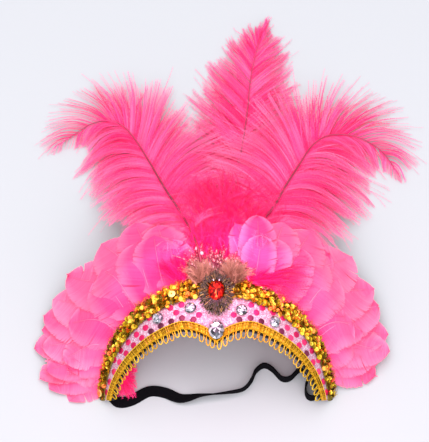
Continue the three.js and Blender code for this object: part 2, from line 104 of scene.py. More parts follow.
endDrop = math.sin(band["flare"]) * math.cos(band["flare"]) * (1 - math.cos(band["wrapOuter"]))
frontHeight = (band["reach"] + band["endWidth"]) * endDrop - band["footTrim"]
coneTip = np.array([0, -bandAxes(1, band["reach"])[1][1] * band["reach"], frontHeight])
turnEach = math.sin(band["flare"]) * band["wrapInner"]
innerHalf = turnEach * band["reach"]


def onBand(a, s, n=0):
    # a from -1 to 1 along the band, s from the cone's tip, n off its face
    _, out, normal = bandAxes(a, s)
    return coneTip + out * np.asarray(s, float)[..., None] + normal * np.asarray(n, float)[..., None]


def alongAt(x, s):
    return x / (s * turnEach)


# The row's origin in the band's frame, from the backing's own box.
backLow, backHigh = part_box("band_backing")
frontRim = onBand(0.0, outerEdge(0.0) - band["rimInset"])
origin = np.array([-(backLow[0] + backHigh[0]) / 2 / mm, frontRim[1] - backHigh[1] / mm, 0])

# Feathers lie on one slope from under the band's outer rim down to the table.
slope = {
    "centre": -8, "frontRun": 200, "sideRun": 55, "low": 1.25, "stations": 241,
    "stackStart": 4, "stackFull": 36, "stackInner": 75, "stackOuter": 125,
}
rimPlaces = np.linspace(-1, 1, slope["stations"])
rimPoints = onBand(rimPlaces, outerEdge(rimPlaces) - band["rimInset"], 0 * rimPlaces - band["backing"])
rimAngles = np.arctan2(rimPoints[:, 0], rimPoints[:, 1] - slope["centre"])
rimRadii = np.hypot(rimPoints[:, 0], rimPoints[:, 1] - slope["centre"])


def smooth(low, high, x):
    t = np.clip((x - low) / (high - low), 0, 1)
    return t * t * (3 - 2 * t)


def slopeHeight(x, y, half, stack, lift=0.0):
    # half the thickness of what lies there, the height of its layer, and how far it stays off the table
    angle = np.arctan2(x, y - slope["centre"])
    past = np.hypot(x, y - slope["centre"]) - np.interp(angle, rimAngles, rimRadii)
    run = slope["sideRun"] + (slope["frontRun"] - slope["sideRun"]) * np.maximum(0, np.cos(angle)) ** 2
    fall = 0.5 + 0.5 * np.cos(np.pi * np.clip(past / run, 0, 1))
    low = slope["low"] + lift
    root = np.interp(angle, rimAngles, rimPoints[:, 2]) - gap - half
    parted = smooth(slope["stackStart"], slope["stackFull"], past)
    parted = parted * (1 - smooth(slope["stackInner"], slope["stackOuter"], np.abs(x)))
    return low + (root - low) * fall + stack * parted


def fromRim(angle, past):
    r = np.interp(angle, rimAngles, rimRadii) + past
    return np.array([r * math.sin(angle), slope["centre"] + r * math.cos(angle)])


def unit(v):
    return v / np.maximum(np.linalg.norm(v, axis=-1, keepdims=True), 1e-9)


def walk(x, y, way, step):
    return x + np.cumsum(np.sin(way) * step, 1), y + np.cumsum(np.cos(way) * step, 1)


def aboveTable(paths, low):
    return np.concatenate([paths[..., :2], np.maximum(paths[..., 2:], low)], -1)


def tapered(width, taper, paths):
    count, stations = paths.shape[:2]
    return np.tile(width * (1 - taper * np.linspace(0, 1, stations)), (count, 1))


def ribbons(left, right, shades):
    # flat ribbons between two edges, each of them ribbon, station, xyz
    count, stations = left.shape[:2]
    points = np.stack([left, right], 2).reshape(-1, 3)
    index = np.arange(count * stations * 2).reshape(count, stations, 2)
    a, b = index[:, :-1, 0], index[:, :-1, 1]
    c, d = index[:, 1:, 1], index[:, 1:, 0]
    faces = np.concatenate([np.stack([a, b, c], -1), np.stack([a, c, d], -1)]).reshape(-1, 3)
    if shades.ndim == 1:
        shades = np.repeat(shades, stations * 2)
    return points, faces, shades.ravel(), np.tile(np.repeat(np.linspace(0, 1, stations), 2), count)


def strands(paths, widths, facing, shades):
    side = unit(np.cross(unit(np.gradient(paths, axis=1)), facing)) * widths[..., None] / 2
    return ribbons(paths - side, paths + side, shades)


hairs = {"to": 0.97, "long": (0.6, 1.15), "out": 0.8, "ahead": 0.75, "up": (-0.35, 0.45), "paler": 0.25}


def barbules(paths, facing, hair, rng, shades, fluff=1.0):
    # fine hairs down both sides of each strand, one triangle each
    count, stations = paths.shape[:2]
    perSide = hair["perSide"]
    tangent = unit(np.gradient(paths, axis=1))
    side = unit(np.cross(tangent, facing))
    t = np.linspace(hair["from"], hairs["to"], perSide)
    spot = t * (stations - 1)
    i = np.minimum(spot.astype(int), stations - 2)
    f = (spot - i)[None, :, None]
    at = paths[:, i] * (1 - f) + paths[:, i + 1] * f
    way, out = tangent[:, i], side[:, i]
    taper = (1 - hair["taper"] * t)[None, :, None] * hair["length"]
    points = []
    for sign in (-1, 1):
        reach = taper * fluff * rng.uniform(*hairs["long"], (count, perSide, 1))
        tip = at + out * sign * reach * hairs["out"] + way * reach * hairs["ahead"]
        tip = tip + np.array([0, 0, 1]) * reach * rng.uniform(*hairs["up"], (count, perSide, 1))
        points.append(np.stack([at - way * hair["half"], at + way * hair["half"], tip], 2).reshape(-1, 3))
    points = np.concatenate(points)
    along = np.tile(np.repeat(t, 3) + np.tile([0, 0, hairs["paler"]], perSide), 2 * count)
    return points, np.arange(len(points)).reshape(-1, 3), np.tile(np.repeat(shades, perSide * 3), 2), along


def feathery(paths, widths, facing, hair, rng, shades, fluff=1.0):
    return [strands(paths, widths, facing, shades), barbules(paths, facing, hair, rng, shades, fluff)]


def barbFacing(lean, sway, rng, count):
    # strands turn their flat side up and a little forward, each rolled its own way
    return np.array([0, lean, 1.0]) + np.array([sway, 0, 0]) * rng.normal(0, 1, (count, 1, 1))


def tubes(paths, radius, sides, shades, up=(0, 0, 1)):
    # closed round strands: paths is strand, station, xyz
    count, stations = paths.shape[:2]
    tangent = unit(np.gradient(paths, axis=1))
    side = unit(np.cross(tangent, np.broadcast_to(np.asarray(up, float), paths.shape)))
    top = np.cross(side, tangent)
    turn = np.arange(sides) * 2 * np.pi / sides
    ring = side[:, :, None] * np.cos(turn)[:, None] + top[:, :, None] * np.sin(turn)[:, None]
    rings = paths[:, :, None] + ring * np.broadcast_to(radius, paths.shape[:2])[..., None, None]
    points = np.concatenate([rings.reshape(count, -1, 3), paths[:, [0, -1]]], 1)
    each = stations * sides + 2
    k = np.arange(stations - 1)[:, None] * sides
    j, nextJ = np.arange(sides), (np.arange(sides) + 1) % sides
    a, b, c, d = k + j, k + nextJ, k + sides + nextJ, k + sides + j
    walls = np.concatenate([np.stack([a, b, c], -1).reshape(-1, 3), np.stack([a, c, d], -1).reshape(-1, 3)])
    last = (stations - 1) * sides
    foot = np.stack([np.full(sides, each - 2), nextJ, j], -1)
    head = np.stack([np.full(sides, each - 1), last + j, last + nextJ], -1)
    one = np.concatenate([walls, foot, head])
    faces = (one[None] + np.arange(count)[:, None, None] * each).reshape(-1, 3)
    along = np.concatenate([np.repeat(np.linspace(0, 1, stations), sides), [0, 1]])
    return points.reshape(-1, 3), faces, np.repeat(shades, each), np.tile(along, count)


def meshPiece(name, parts, material, replaces=(), smoothFaces=True):
    # many small parts as one mesh, laid on the frame; nothing dips into the table
    starts = np.cumsum([0] + [len(part[0]) for part in parts[:-1]])
    faces = np.concatenate([part[1] + start for part, start in zip(parts, starts)])
    points, shade, along = (np.concatenate([part[k] for part in parts]) for k in (0, 2, 3))
    points = aboveTable(points, tableGap)
    mesh = bpy.data.meshes.new(name)
    mesh.vertices.add(len(points))
    mesh.vertices.foreach_set("co", ((points - origin) * mm).astype(np.float32).ravel())
    mesh.loops.add(faces.size)
    mesh.loops.foreach_set("vertex_index", faces.astype(np.int32).ravel())
    mesh.polygons.add(len(faces))
    mesh.polygons.foreach_set("loop_start", np.arange(0, faces.size, 3, dtype=np.int32))
    mesh.update(calc_edges=True)
    for label, values in (("shade", shade), ("along", along)):
        mesh.attributes.new(label, "FLOAT", "POINT").data.foreach_set("value", np.asarray(values, np.float32))
    mesh.polygons.foreach_set("use_smooth", np.full(len(faces), smoothFaces))
    mesh.validate()
    piece = bpy.data.objects.new(name, mesh)
    bpy.context.collection.objects.link(piece)
    mesh.materials.append(material)
    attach(piece, "root")
    if replaces:
        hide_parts(*replaces)
    print(name, len(faces), "triangles")
    return piece


def startEdit():
    bpy.ops.object.mode_set(mode="EDIT")
    bpy.ops.mesh.select_all(action="SELECT")


def resize(x, y, z):
    bpy.ops.transform.resize(value=(x, y, z), center_override=(0, 0, 0))


def turned(sides, radius, rings, base=0.0, fill="NOTHING"):
    # raised ring by ring from a circle: each ring's rise, its size to the last one and its turn in degrees
    bpy.ops.mesh.primitive_circle_add(vertices=sides, radius=radius, fill_type=fill)
    startEdit()
    bpy.ops.transform.translate(value=(0, 0, base))
    for rise, size, turn in rings:
        bpy.ops.mesh.extrude_region_move(TRANSFORM_OT_translate={"value": (0, 0, rise)})
        resize(size, size, 1)
        bpy.ops.transform.rotate(value=turn * degrees, orient_axis="Z", center_override=(0, 0, 0))


def takeModel():
    # what was just modelled, as points and triangles
    bpy.ops.object.mode_set(mode="OBJECT")
    model = bpy.context.active_object
    model.data.calc_loop_triangles()
    points = np.array([v.co[:] for v in model.data.vertices])
    faces = np.array([t.vertices[:] for t in model.data.loop_triangles])
    bpy.data.objects.remove(model)
    return points, faces


def facets(model, rng):
    # each flat facet gets points and a random tone of its own; on the stones these tones are painted
    # reflections
    points, faces = model
    corners = points[faces]
    normals = unit(np.cross(corners[:, 1] - corners[:, 0], corners[:, 2] - corners[:, 0]))
    _, group = np.unique(np.round(normals, 2), axis=0, return_inverse=True)
    tones = rng.uniform(0, 1, group.max() + 1)
    return corners.reshape(-1, 3), np.arange(faces.size).reshape(-1, 3), np.repeat(tones[group.ravel()], 3)


def copies(model, places, shades=None):
    # places holds one 3x4 matrix for each copy; a model of facets brings its own shades
    points, faces = model[:2]
    places = np.asarray(places)
    moved = np.einsum("nij,pj->npi", places[:, :, :3], points) + places[:, None, :, 3]
    every = (faces[None] + np.arange(len(places))[:, None, None] * len(points)).reshape(-1, 3)
    shade = np.tile(model[2], len(places)) if shades is None else np.repeat(shades, len(points))
    return moved.reshape(-1, 3), every, shade, np.zeros(len(places) * len(points))


def seat(a, s, n, scale=(1, 1, 1), tilt=(0, 0, 0)):
    # a place on the band, tilted about its own axes
    basis = np.stack(bandAxes(a, s), -1)
    about = [Matrix.Rotation(angle, 3, axis) for angle, axis in zip(tilt, "XYZ")]
    turn = np.array(about[2] @ about[0] @ about[1])
    return np.concatenate([basis @ turn @ np.diag(scale), onBand(a, s, n)[:, None]], 1)


def startGrid(columns, rows):
    # a flat grid to be shaped, and its points from -1 to 1
    bpy.ops.mesh.primitive_grid_add(x_subdivisions=columns, y_subdivisions=rows, size=2)
    sheet = bpy.context.active_object
    return sheet, np.array([v.co[:] for v in sheet.data.vertices])


def finishGrid(sheet, points, thick, bevel=0.0):
    # the shaped grid with a wall from Solidify and rounded edges from Bevel
    sheet.data.vertices.foreach_set("co", points.ravel())
    wall = sheet.modifiers.new("wall", "SOLIDIFY")
    wall.thickness = thick
    wall.offset = -1
    bpy.ops.object.modifier_apply(modifier="wall")
    if bevel:
        edge = sheet.modifiers.new("edge", "BEVEL")
        edge.width = bevel
        edge.segments = 2
        edge.limit_method = "ANGLE"
        edge.angle_limit = 50 * degrees
        bpy.ops.object.modifier_apply(modifier="edge")
    return takeModel()


def bandGrid(inner, outer, look, top, relief=None):
    # a sheet laid on the band between two edges
    sheet, flat = startGrid(look["along"], look["across"])
    a, share = flat[:, 0], (flat[:, 1] + 1) / 2
    height = top + (relief(a, share) if relief else 0 * a)
    laid = onBand(a, inner(a) + (outer(a) - inner(a)) * share, height)
    points, faces = finishGrid(sheet, laid, look["thick"], look.get("bevel"))
    return points, faces, np.full(len(points), 0.5), np.zeros(len(points))


def linear(hexColour):
    # sRGB hex to the linear values that a shader takes
    values = [int(hexColour[i:i + 2], 16) / 255 for i in (1, 3, 5)]
    return tuple(v / 12.92 if v <= 0.04045 else ((v + 0.055) / 1.055) ** 2.4 for v in values) + (1,)


def add(material, kind, settings=None, inputs=None):
    node = material.node_tree.nodes.new(kind)
    for key, value in (settings or {}).items():
        setattr(node, key, value)
    for key, value in (inputs or {}).items():
        if isinstance(value, bpy.types.NodeSocket):
            material.node_tree.links.new(value, node.inputs[key])
        else:
            node.inputs[key].default_value = value
    return node


def newMaterial(name, shader):
    material = bpy.data.materials.new(name)
    material.use_nodes = True
    for key, value in shader.items():
        material.node_tree.nodes["Principled BSDF"].inputs[key].default_value = value
    return material


def drive(material, label, source):
    material.node_tree.links.new(source, material.node_tree.nodes["Principled BSDF"].inputs[label])


def ramp(material, value, stops):
    node = add(material, "ShaderNodeValToRGB", inputs={"Fac": value})
    elements = node.color_ramp.elements
    while len(elements) < len(stops):
        elements.new(0.5)
    for element, (place, colour) in zip(elements, stops):
        element.position = place
        element.color = linear(colour)
    return node.outputs["Color"]


def mark(material, label):
    return add(material, "ShaderNodeAttribute", {"attribute_name": label}).outputs["Fac"]


def objectPlace(material):
    return add(material, "ShaderNodeTexCoord").outputs["Object"]


def objectNoise(material, perMm, detail=2):
    inputs = {"Vector": objectPlace(material), "Scale": perMm / mm, "Detail": detail}
    return add(material, "ShaderNodeTexNoise", inputs=inputs).outputs["Fac"]


def rescaled(material, value, low, high, most):
    inputs = {"Value": value, "From Min": low, "From Max": high, "To Max": most}
    return add(material, "ShaderNodeMapRange", inputs=inputs).outputs["Result"]


def mixed(material, share, low, high):
    return add(material, "ShaderNodeMix", {"data_type": "RGBA"}, {0: share, 6: low, 7: high}).outputs[2]


def bumped(material, height, strength, depth):
    # depth in mm
    inputs = {"Height": height, "Strength": strength, "Distance": depth * mm}
    drive(material, "Normal", add(material, "ShaderNodeBump", inputs=inputs).outputs["Normal"])


def toned(name, stops, shader, by="shade", perMm=0.0, detail=2):
    # a base colour that follows a mark of the mesh, or noise of so many cells to the mm
    material = newMaterial(name, shader)
    value = objectNoise(material, perMm, detail) if perMm else mark(material, by)
    drive(material, "Base Color", ramp(material, value, stops))
    return material


def dyedFeather(name, stops, tipColour, tipShare, roughness, sheen):
    # dyed keratin: matt strands whose shade differs from barb to barb, paler where they thin out
    material = newMaterial(name, {
        "Roughness": roughness, "IOR": 1.5, "Specular IOR Level": 0.2, "Sheen Weight": sheen,
        "Sheen Roughness": 0.4, "Sheen Tint": linear(tipColour),
    })
    body = ramp(material, mark(material, "shade"), stops)
    tip = rescaled(material, mark(material, "along"), 0.55, 1.1, tipShare)
    patchy = rescaled(material, objectNoise(material, 0.03), 0.35, 0.7, 0.3)
    dyed = mixed(material, patchy, body, linear(stops[0][1]))
    drive(material, "Base Color", mixed(material, tip, dyed, linear(tipColour)))
    return material


ostrichDye = dyedFeather(
    "dyedOstrichBarbs", [(0, "#fc1069"), (0.45, "#ff4a92"), (1, "#ff8cbe")], "#ff9cc6", 0.55, 0.75, 0.2)
# a darker copy of the ostrich dye for the barbs under the top ones and between the plumes' feet: painted
# shade
shadedOstrichDye = dyedFeather(
    "shadedOstrichBarbs", [(0, "#f4045a"), (0.5, "#ff1c6e"), (1, "#ff3c86")], "#ff5c9a", 0.4, 0.8, 0.08)
marabouDye = dyedFeather(
    "dyedMarabouDown", [(0, "#f00054"), (0.5, "#fb1068"), (1, "#ff3482")], "#ff5698", 0.45, 0.85, 0.06)
gooseDown = dyedFeather(
    "dyedGooseDown", [(0, "#ff2f7a"), (0.5, "#ff5292"), (1, "#ff7cac")], "#ff9cc0", 0.6, 0.85, 0.15)
tanDown = dyedFeather(
    "naturalTanDown", [(0, "#583626"), (0.5, "#8f6650"), (1, "#b98e76")], "#cda890", 0.6, 0.9, 0.1)
shaftKeratin = toned("dyedFeatherShaft", [(0, "#7c1234"), (0.5, "#94203f"), (1, "#c43a6c")],
                     {"Roughness": 0.35, "IOR": 1.54}, by="along")

# the camera looks at a place given by its height and its distance up the picture
camera = {
    "distance": 2000, "elevation": 60 * degrees, "atX": -1.5, "atPicture": 152.15, "atZ": 30,
    "pixels": 429, "mmPerPixel": 0.85, "sensor": 36, "far": 20,
}
sinUp, cosUp = math.sin(camera["elevation"]), math.cos(camera["elevation"])
lookAt = np.array([camera["atX"], (camera["atPicture"] - camera["atZ"] * cosUp) / sinUp, camera["atZ"]])
cameraData = bpy.data.cameras.new("photoCamera")
cameraData.sensor_width = camera["sensor"]
cameraData.lens = camera["sensor"] * camera["distance"] / (camera["pixels"] * camera["mmPerPixel"])
cameraData.sensor_fit = "HORIZONTAL"
cameraData.clip_end = camera["far"]
cameraObject = bpy.data.objects.new("photoCamera", cameraData)
cameraObject.location = (lookAt + np.array([0, -cosUp, sinUp]) * camera["distance"] - origin) * mm
cameraObject.rotation_euler = (math.pi / 2 - camera["elevation"], 0, 0)
bpy.context.collection.objects.link(cameraObject)
bpy.context.scene.camera = cameraObject
bpy.context.scene.view_settings.view_transform = "Standard"

# a matt table whose grey comes out near white under these lamps; sizes here are in metres
table = {"size": 6, "colour": "#bcbfc2"}
bpy.ops.mesh.primitive_plane_add(size=table["size"], location=(0, 0, 0))
floor = bpy.context.active_object
floor.name = "paleTable"
floor.data.materials.append(newMaterial("mattPaleTable", {
    "Base Color": linear(table["colour"]), "Roughness": 0.9, "Specular IOR Level": 0.15,
}))

lamps = {
    "softKey": {"at": (-0.12, 0.1, 1.6), "aim": (0, 0, 0), "size": 1.8, "power": 17, "colour": "#ffffff"},
    "softFront": {"at": (0.05, -1.3, 0.8), "aim": (0, 0, 0), "size": 1.8, "power": 20, "colour": "#fff6fa"},
    # stands in for the light that pink feathers throw inside the arch
    "pinkBounce": {"at": (-0.01, -0.115, 0.1), "aim": (0, -0.13, 0), "size": 0.1, "power": 0.08,
                   "colour": "#ff8cc0"},
}
for name, lamp in lamps.items():
    light = bpy.data.lights.new(name, "AREA")
    light.size = lamp["size"]
    light.energy = lamp["power"]
    light.color = linear(lamp["colour"])[:3]
    lightObject = bpy.data.objects.new(name, light)
    lightObject.location = lamp["at"]
    lightObject.visible_camera = False
    beam = Vector(lamp["aim"]) - Vector(lamp["at"])
    lightObject.rotation_euler = beam.to_track_quat("-Z", "Y").to_euler()
    bpy.context.collection.objects.link(lightObject)
studio = {"colour": "#f4f2f8", "strength": 1.1}
world = bpy.data.worlds.new("paleStudio")
world.use_nodes = True
world.node_tree.nodes["Background"].inputs["Color"].default_value = linear(studio["colour"])
world.node_tree.nodes["Background"].inputs["Strength"].default_value = studio["strength"]
bpy.context.scene.world = world
print("camera, table and lights set")

# ostrich plumes: each barb is a flat strand with fine hairs down both its sides
# locks are barbs that cling together; turns are in degrees, places in shares of the barbed part
plumeStyle = {
    "stations": 12, "width": 0.75, "widths": (0.7, 1.2), "taper": 0.75, "tuck": 10, "half": 2.3,
    "lowest": 0.7, "crowded": 1.22, "uneven": 0.004, "thin": 0.72, "thinning": (0.5, 1),
    "locks": 34, "strayed": 0.12, "lockLong": (0.84, 1.1), "lockLift": (-0.5, 1), "lockShade": (0.15, 0.9),
    "lockSettles": 0.7, "gather": 22.68, "gatherEnds": (0.7, 0.95), "barbLong": (0.84, 1.06),
    "spreadFoot": 64, "spreadTip": 46, "spreadEnd": 17, "closing": (0.9, 1), "back": 12,
    "straightWider": 12, "widening": (0.3, 0.7), "droopFoot": 122, "droopTip": 166, "droopLeast": 4,
    "bend": 1.2, "waver": 1.3, "wild": 0.06, "wildLong": 1.22, "wildTurn": 13,
    "puff": 6, "puffEnd": 1.15, "puffShare": 0.55, "ruffled": 0.5, "lifted": (0.1, 0.55),
    "lean": 0.35, "sway": 0.5, "sleek": 0.35, "hookSleek": 0.6, "sleekFrom": (0.45, 1),
}
plumeLayers = {
    # the under layer takes the darker ostrich dye, painted shade beneath the top barbs
    "under": {"dye": shadedOstrichDye, "count": 320, "reach": 0.8, "long": 0.78, "lockTurn": 12, "loose": 26,
              "puff": 0.3, "hair": {"perSide": 20, "length": 4.8, "half": 0.18, "taper": 0.4, "from": 0.04}},
    "barbs": {"dye": ostrichDye, "count": 620, "reach": 1, "long": 1, "lockTurn": 5, "loose": 0, "puff": 1,
              "hair": {"perSide": 28, "length": 4.3, "half": 0.13, "taper": 0.55, "from": 0.04}},
}
plumeShaft = {"points": 200, "from": 16, "step": 4, "over": 2.2, "root": 1.15, "tip": 0.35, "sides": 6}
# the shaft in shares of the plume's own reach; curl in degrees and barbs in mm, at shares of the barbed part
plumes = {
    "plume_centre": {
        "across": 0, "reach": 301, "stack": 0, "bare": 0.1, "hook": 0, "lift": 0, "seed": 11,
        "curl": [(0, 36), (0.4, 14), (0.7, -12), (1, -24)],
        "shaft": [(0, 0), (0.017, 0.146), (0.04, 0.329), (0.057, 0.472), (0.076, 0.585), (0.093, 0.724),
                  (0.103, 0.834), (0.126, 0.95), (0.141, 1)],
        "leftBarbs": [(0, 40), (0.12, 64), (0.3, 74), (0.45, 70), (0.6, 60), (0.72, 52), (0.84, 40),
                      (0.92, 27), (1, 16)],
        "rightBarbs": [(0, 40), (0.12, 62), (0.3, 72), (0.47, 68), (0.6, 58), (0.72, 50), (0.84, 39),
                       (0.92, 27), (1, 16)],
    },
    "plume_left": {
        "across": -8, "reach": 202, "stack": 5.5, "bare": 0.2, "hook": -1, "lift": 13, "seed": 12,
        "curl": [(0, 44), (0.3, 38), (0.5, 10), (0.7, -24), (0.86, -38), (1, -24)],
        "shaft": [(0, 0), (-0.048, 0.213), (-0.149, 0.505), (-0.248, 0.767), (-0.337, 0.936), (-0.421, 1),
                  (-0.51, 0.99), (-0.594, 0.931), (-0.639, 0.896)],
        "leftBarbs": [(0, 34), (0.12, 56), (0.3, 64), (0.48, 64), (0.6, 54), (0.72, 40), (0.85, 26), (1, 12)],
        "rightBarbs": [(0, 40), (0.12, 66), (0.3, 76), (0.45, 72), (0.58, 66), (0.7, 60), (0.82, 50),
                       (0.92, 36), (1, 16)],
    },
    "plume_right": {
        "across": 10, "reach": 189, "stack": 11, "bare": 0.2, "hook": 1, "lift": 6, "seed": 13,
        "curl": [(0, 46), (0.3, 38), (0.5, 8), (0.7, -26), (0.86, -40), (1, -24)],
        "shaft": [(0, 0), (0.074, 0.217), (0.196, 0.455), (0.259, 0.63), (0.323, 0.778), (0.394, 0.915),
                  (0.476, 0.984), (0.577, 1), (0.661, 0.963), (0.728, 0.899), (0.778, 0.81)],
        "leftBarbs": [(0, 40), (0.12, 66), (0.3, 76), (0.42, 76), (0.55, 70), (0.68, 62), (0.8, 50),
                      (0.9, 34), (1, 14)],
        "rightBarbs": [(0, 38), (0.12, 62), (0.3, 74), (0.45, 70), (0.58, 58), (0.72, 42), (0.85, 26),
                       (1, 12)],
    },
}


def smoothLine(points, count):
    # a curve through the points, at even spacing
    points = np.asarray(points, float)
    padded = np.concatenate([[2 * points[0] - points[1]], points, [2 * points[-1] - points[-2]]])
    t = np.linspace(0, 1, 24, endpoint=False)[:, None]
    fine = []
    for i in range(len(points) - 1):
        p0, p1, p2, p3 = padded[i:i + 4]
        fine.append(0.5 * (2 * p1 + (p2 - p0) * t + (2 * p0 - 5 * p1 + 4 * p2 - p3) * t ** 2
                           + (3 * p1 - p0 - 3 * p2 + p3) * t ** 3))
    fine = np.concatenate(fine + [points[-1:]])
    length = np.concatenate([[0], np.cumsum(np.linalg.norm(np.diff(fine, axis=0), axis=1))])
    even = np.linspace(0, length[-1], count)
    return np.stack([np.interp(even, length, fine[:, k]) for k in range(fine.shape[1])], -1)


def plumeHeight(plume, x, y, share):
    # the side plumes start on top of the centre one
    lifted = plume["lift"] * (1 - smooth(*plumeStyle["lifted"], share))
    return slopeHeight(x, y, plumeStyle["half"], plume["stack"]) + lifted


def plumeBarbs(plume, line, side, layer, rng):
    # barbs on one side of the shaft; on the hollow side of a hook they droop straight towards the ground
    style, locks, count = plumeStyle, plumeStyle["locks"], layer["count"]
    heading = np.unwrap(np.arctan2(*np.gradient(line, axis=0).T))
    stations = np.linspace(0, 1, len(line))
    share = np.clip(np.linspace(0, 1, count) + rng.normal(0, style["uneven"], count), 0, 1)
    share = (share * layer["reach"]) ** style["crowded"]
    missing = abs(plume["hook"]) * style["thin"] * smooth(*style["thinning"], share)
    share = share[rng.random(count) > missing]
    count = len(share)
    lock = np.floor(share * locks + rng.normal(0, style["strayed"], count)).clip(0, locks - 1).astype(int)
    lockTurn = rng.normal(0, layer["lockTurn"], locks)[lock]
    lockLong, lockLift, lockShade = (
        rng.uniform(*style[key], locks)[lock] for key in ("lockLong", "lockLift", "lockShade"))
    u = plume["bare"] + (1 - plume["bare"]) * share
    spread = style["spreadFoot"] + (style["spreadTip"] - style["spreadFoot"]) * share
    if not plume["hook"]:
        spread = spread + style["straightWider"] * smooth(*style["widening"], share)
    spread = spread + (style["spreadEnd"] - spread) * smooth(*style["closing"], share)
    start = np.interp(u, stations, heading) + side * (spread - style["back"]) * degrees
    hollow = plume["hook"] == side
    if hollow:
        droop = style["droopFoot"] + (style["droopTip"] - style["droopFoot"]) * share
        curl = np.maximum(droop - side * start / degrees, style["droopLeast"])
    else:
        curl = np.interp(share, *np.array(plume["curl"]).T)
    long = np.interp(share, *np.array(plume["leftBarbs" if side < 0 else "rightBarbs"]).T)
    long = long * lockLong * rng.uniform(*style["barbLong"], count) * layer["long"]
    wild = rng.random(count) < style["wild"]
    long = np.where(wild, long * style["wildLong"], long)
    t = np.linspace(0, 1, style["stations"])
    gather = style["gather"] * ((lock + 0.5) / locks - share) * (1 if hollow else -1)
    gather = gather * (1 - smooth(*style["gatherEnds"], share))
    curl = curl + lockTurn * (1 - style["lockSettles"] * share)
    turn = side * (curl[:, None] * t ** style["bend"] + gather[:, None] * t)
    turn = turn + rng.normal(0, style["waver"], (count, 1))
    turn = turn + (wild * rng.normal(0, style["wildTurn"], count))[:, None]
    if layer["loose"]:
        turn = turn + rng.normal(0, layer["loose"], (count, 1)) * t
    way = start[:, None] + turn * degrees
    step = (long / (style["stations"] - 1))[:, None]
    foot = [np.interp(u, stations, line[:, k])[:, None] for k in (0, 1)]
    x, y = walk(foot[0] - np.sin(way[:, :1]) * step, foot[1] - np.cos(way[:, :1]) * step, way, step)
    arch = style["puff"] * np.sin(np.pi * np.minimum(1, t * style["puffEnd"]))
    arch = arch * (style["puffShare"] + (1 - style["puffShare"]) * lockLift)[:, None]
    ruffled = style["ruffled"]
    arch = np.maximum(arch + rng.normal(0, ruffled, (count, 1)) * t, -ruffled) * layer["puff"]
    z = plumeHeight(plume, x, y, u[:, None]) + arch
    paths = np.stack([x, y, np.maximum(z, style["lowest"])], -1)
    widths = tapered(style["width"], style["taper"], paths) * rng.uniform(*style["widths"], (count, 1))
    shade = (lockShade + rng.uniform(0, 1, count)) / 2
    facing = barbFacing(style["lean"], style["sway"], rng, count)
    sleek = style["hookSleek" if plume["hook"] else "sleek"] * smooth(*style["sleekFrom"], share)
    return feathery(paths, widths, facing, layer["hair"], rng, shade, (1 - sleek)[:, None, None])


for name, plume in plumes.items():
    rng = np.random.default_rng(plume["seed"])
    rootY = onBand(0.0, outerEdge(0.0) - plumeStyle["tuck"])[1]
    line = smoothLine([(plume["across"] + x * plume["reach"], rootY + y * plume["reach"])
                       for x, y in plume["shaft"]], plumeShaft["points"])
    for word, layer in plumeLayers.items():
        parts = []
        for side in (-1, 1):
            parts += plumeBarbs(plume, line, side, layer, rng)
        meshPiece(name + "_" + word, parts, layer["dye"], [name] if word == "barbs" else ())
    z = plumeHeight(plume, line[:, 0], line[:, 1], np.linspace(0, 1, len(line))) + plumeShaft["over"]
    shaft = np.column_stack([line, z])[plumeShaft["from"]::plumeShaft["step"]][None]
    radii = np.linspace(plumeShaft["root"], plumeShaft["tip"], shaft.shape[1])
    tube = tubes(shaft, radii, plumeShaft["sides"], np.zeros(1))
    meshPiece(name + "_shaft", [tube], shaftKeratin)
print("plumes made")

# goose feathers: vanes of close barbs that part here and there, several to each of the solids
goose = {
    "reach": 88, "width": 38, "bend": 0.4, "stack": 19, "lift": 3.8, "tuck": 9, "roll": 0.16, "half": 1.1,
    "rise": (6, 26), "rootSwing": 0.3, "widths": (0.94, 1.08), "tones": 0.16, "deeper": 0.42, "paler": 0.08,
}
# each fan's rows run outwards: degrees from straight ahead at the root and the tip, shares of the longest
# reach past the rim and of the widest vane; raised ones lie over the plumes' barbs
fans = {
    "left": {"side": -1, "seed": 21, "raised": {1: -1}, "rows": [
        (-20, -17, 0.705, 0.895), (-28, -26, 0.864, 1), (-36, -36, 0.9, 1), (-43, -44.5, 0.92, 1),
        (-49, -52.5, 0.88, 1), (-55, -61, 0.864, 0.895), (-60, -68, 0.71, 0.842), (-64.5, -72, 0.6, 0.763),
        (-69, -75, 0.38, 0.632),
    ]},
    "right": {"side": 1, "seed": 22, "raised": {1: 7, 2: 5, 3: 2}, "rows": [
        (19, 15, 0.682, 0.737), (25, 24, 0.75, 0.947), (33, 33, 0.841, 1), (40, 42.5, 1, 1.053),
        (47, 50, 0.909, 1), (53.5, 58, 0.818, 0.947), (59.5, 65, 0.68, 0.895), (65, 69.5, 0.54, 0.816),
    ]},
}
# the vanes of one solid: how far each swings, its reach and width, its height over the slope, and its tone
vaneLayers = [
    {"swing": (-4, 4), "reach": 0.88, "width": 1.2, "over": 0.5, "tone": 0.66},
    {"swing": (3, 9), "reach": 0.8, "width": 1.15, "over": -1.6, "tone": 0.55},
    {"swing": (-10, -3), "reach": 0.74, "width": 1.1, "over": -3.0, "tone": 0.5},
    {"swing": (-9, 9), "reach": 0.56, "width": 1.15, "over": 4.2, "tone": 0.5},
]
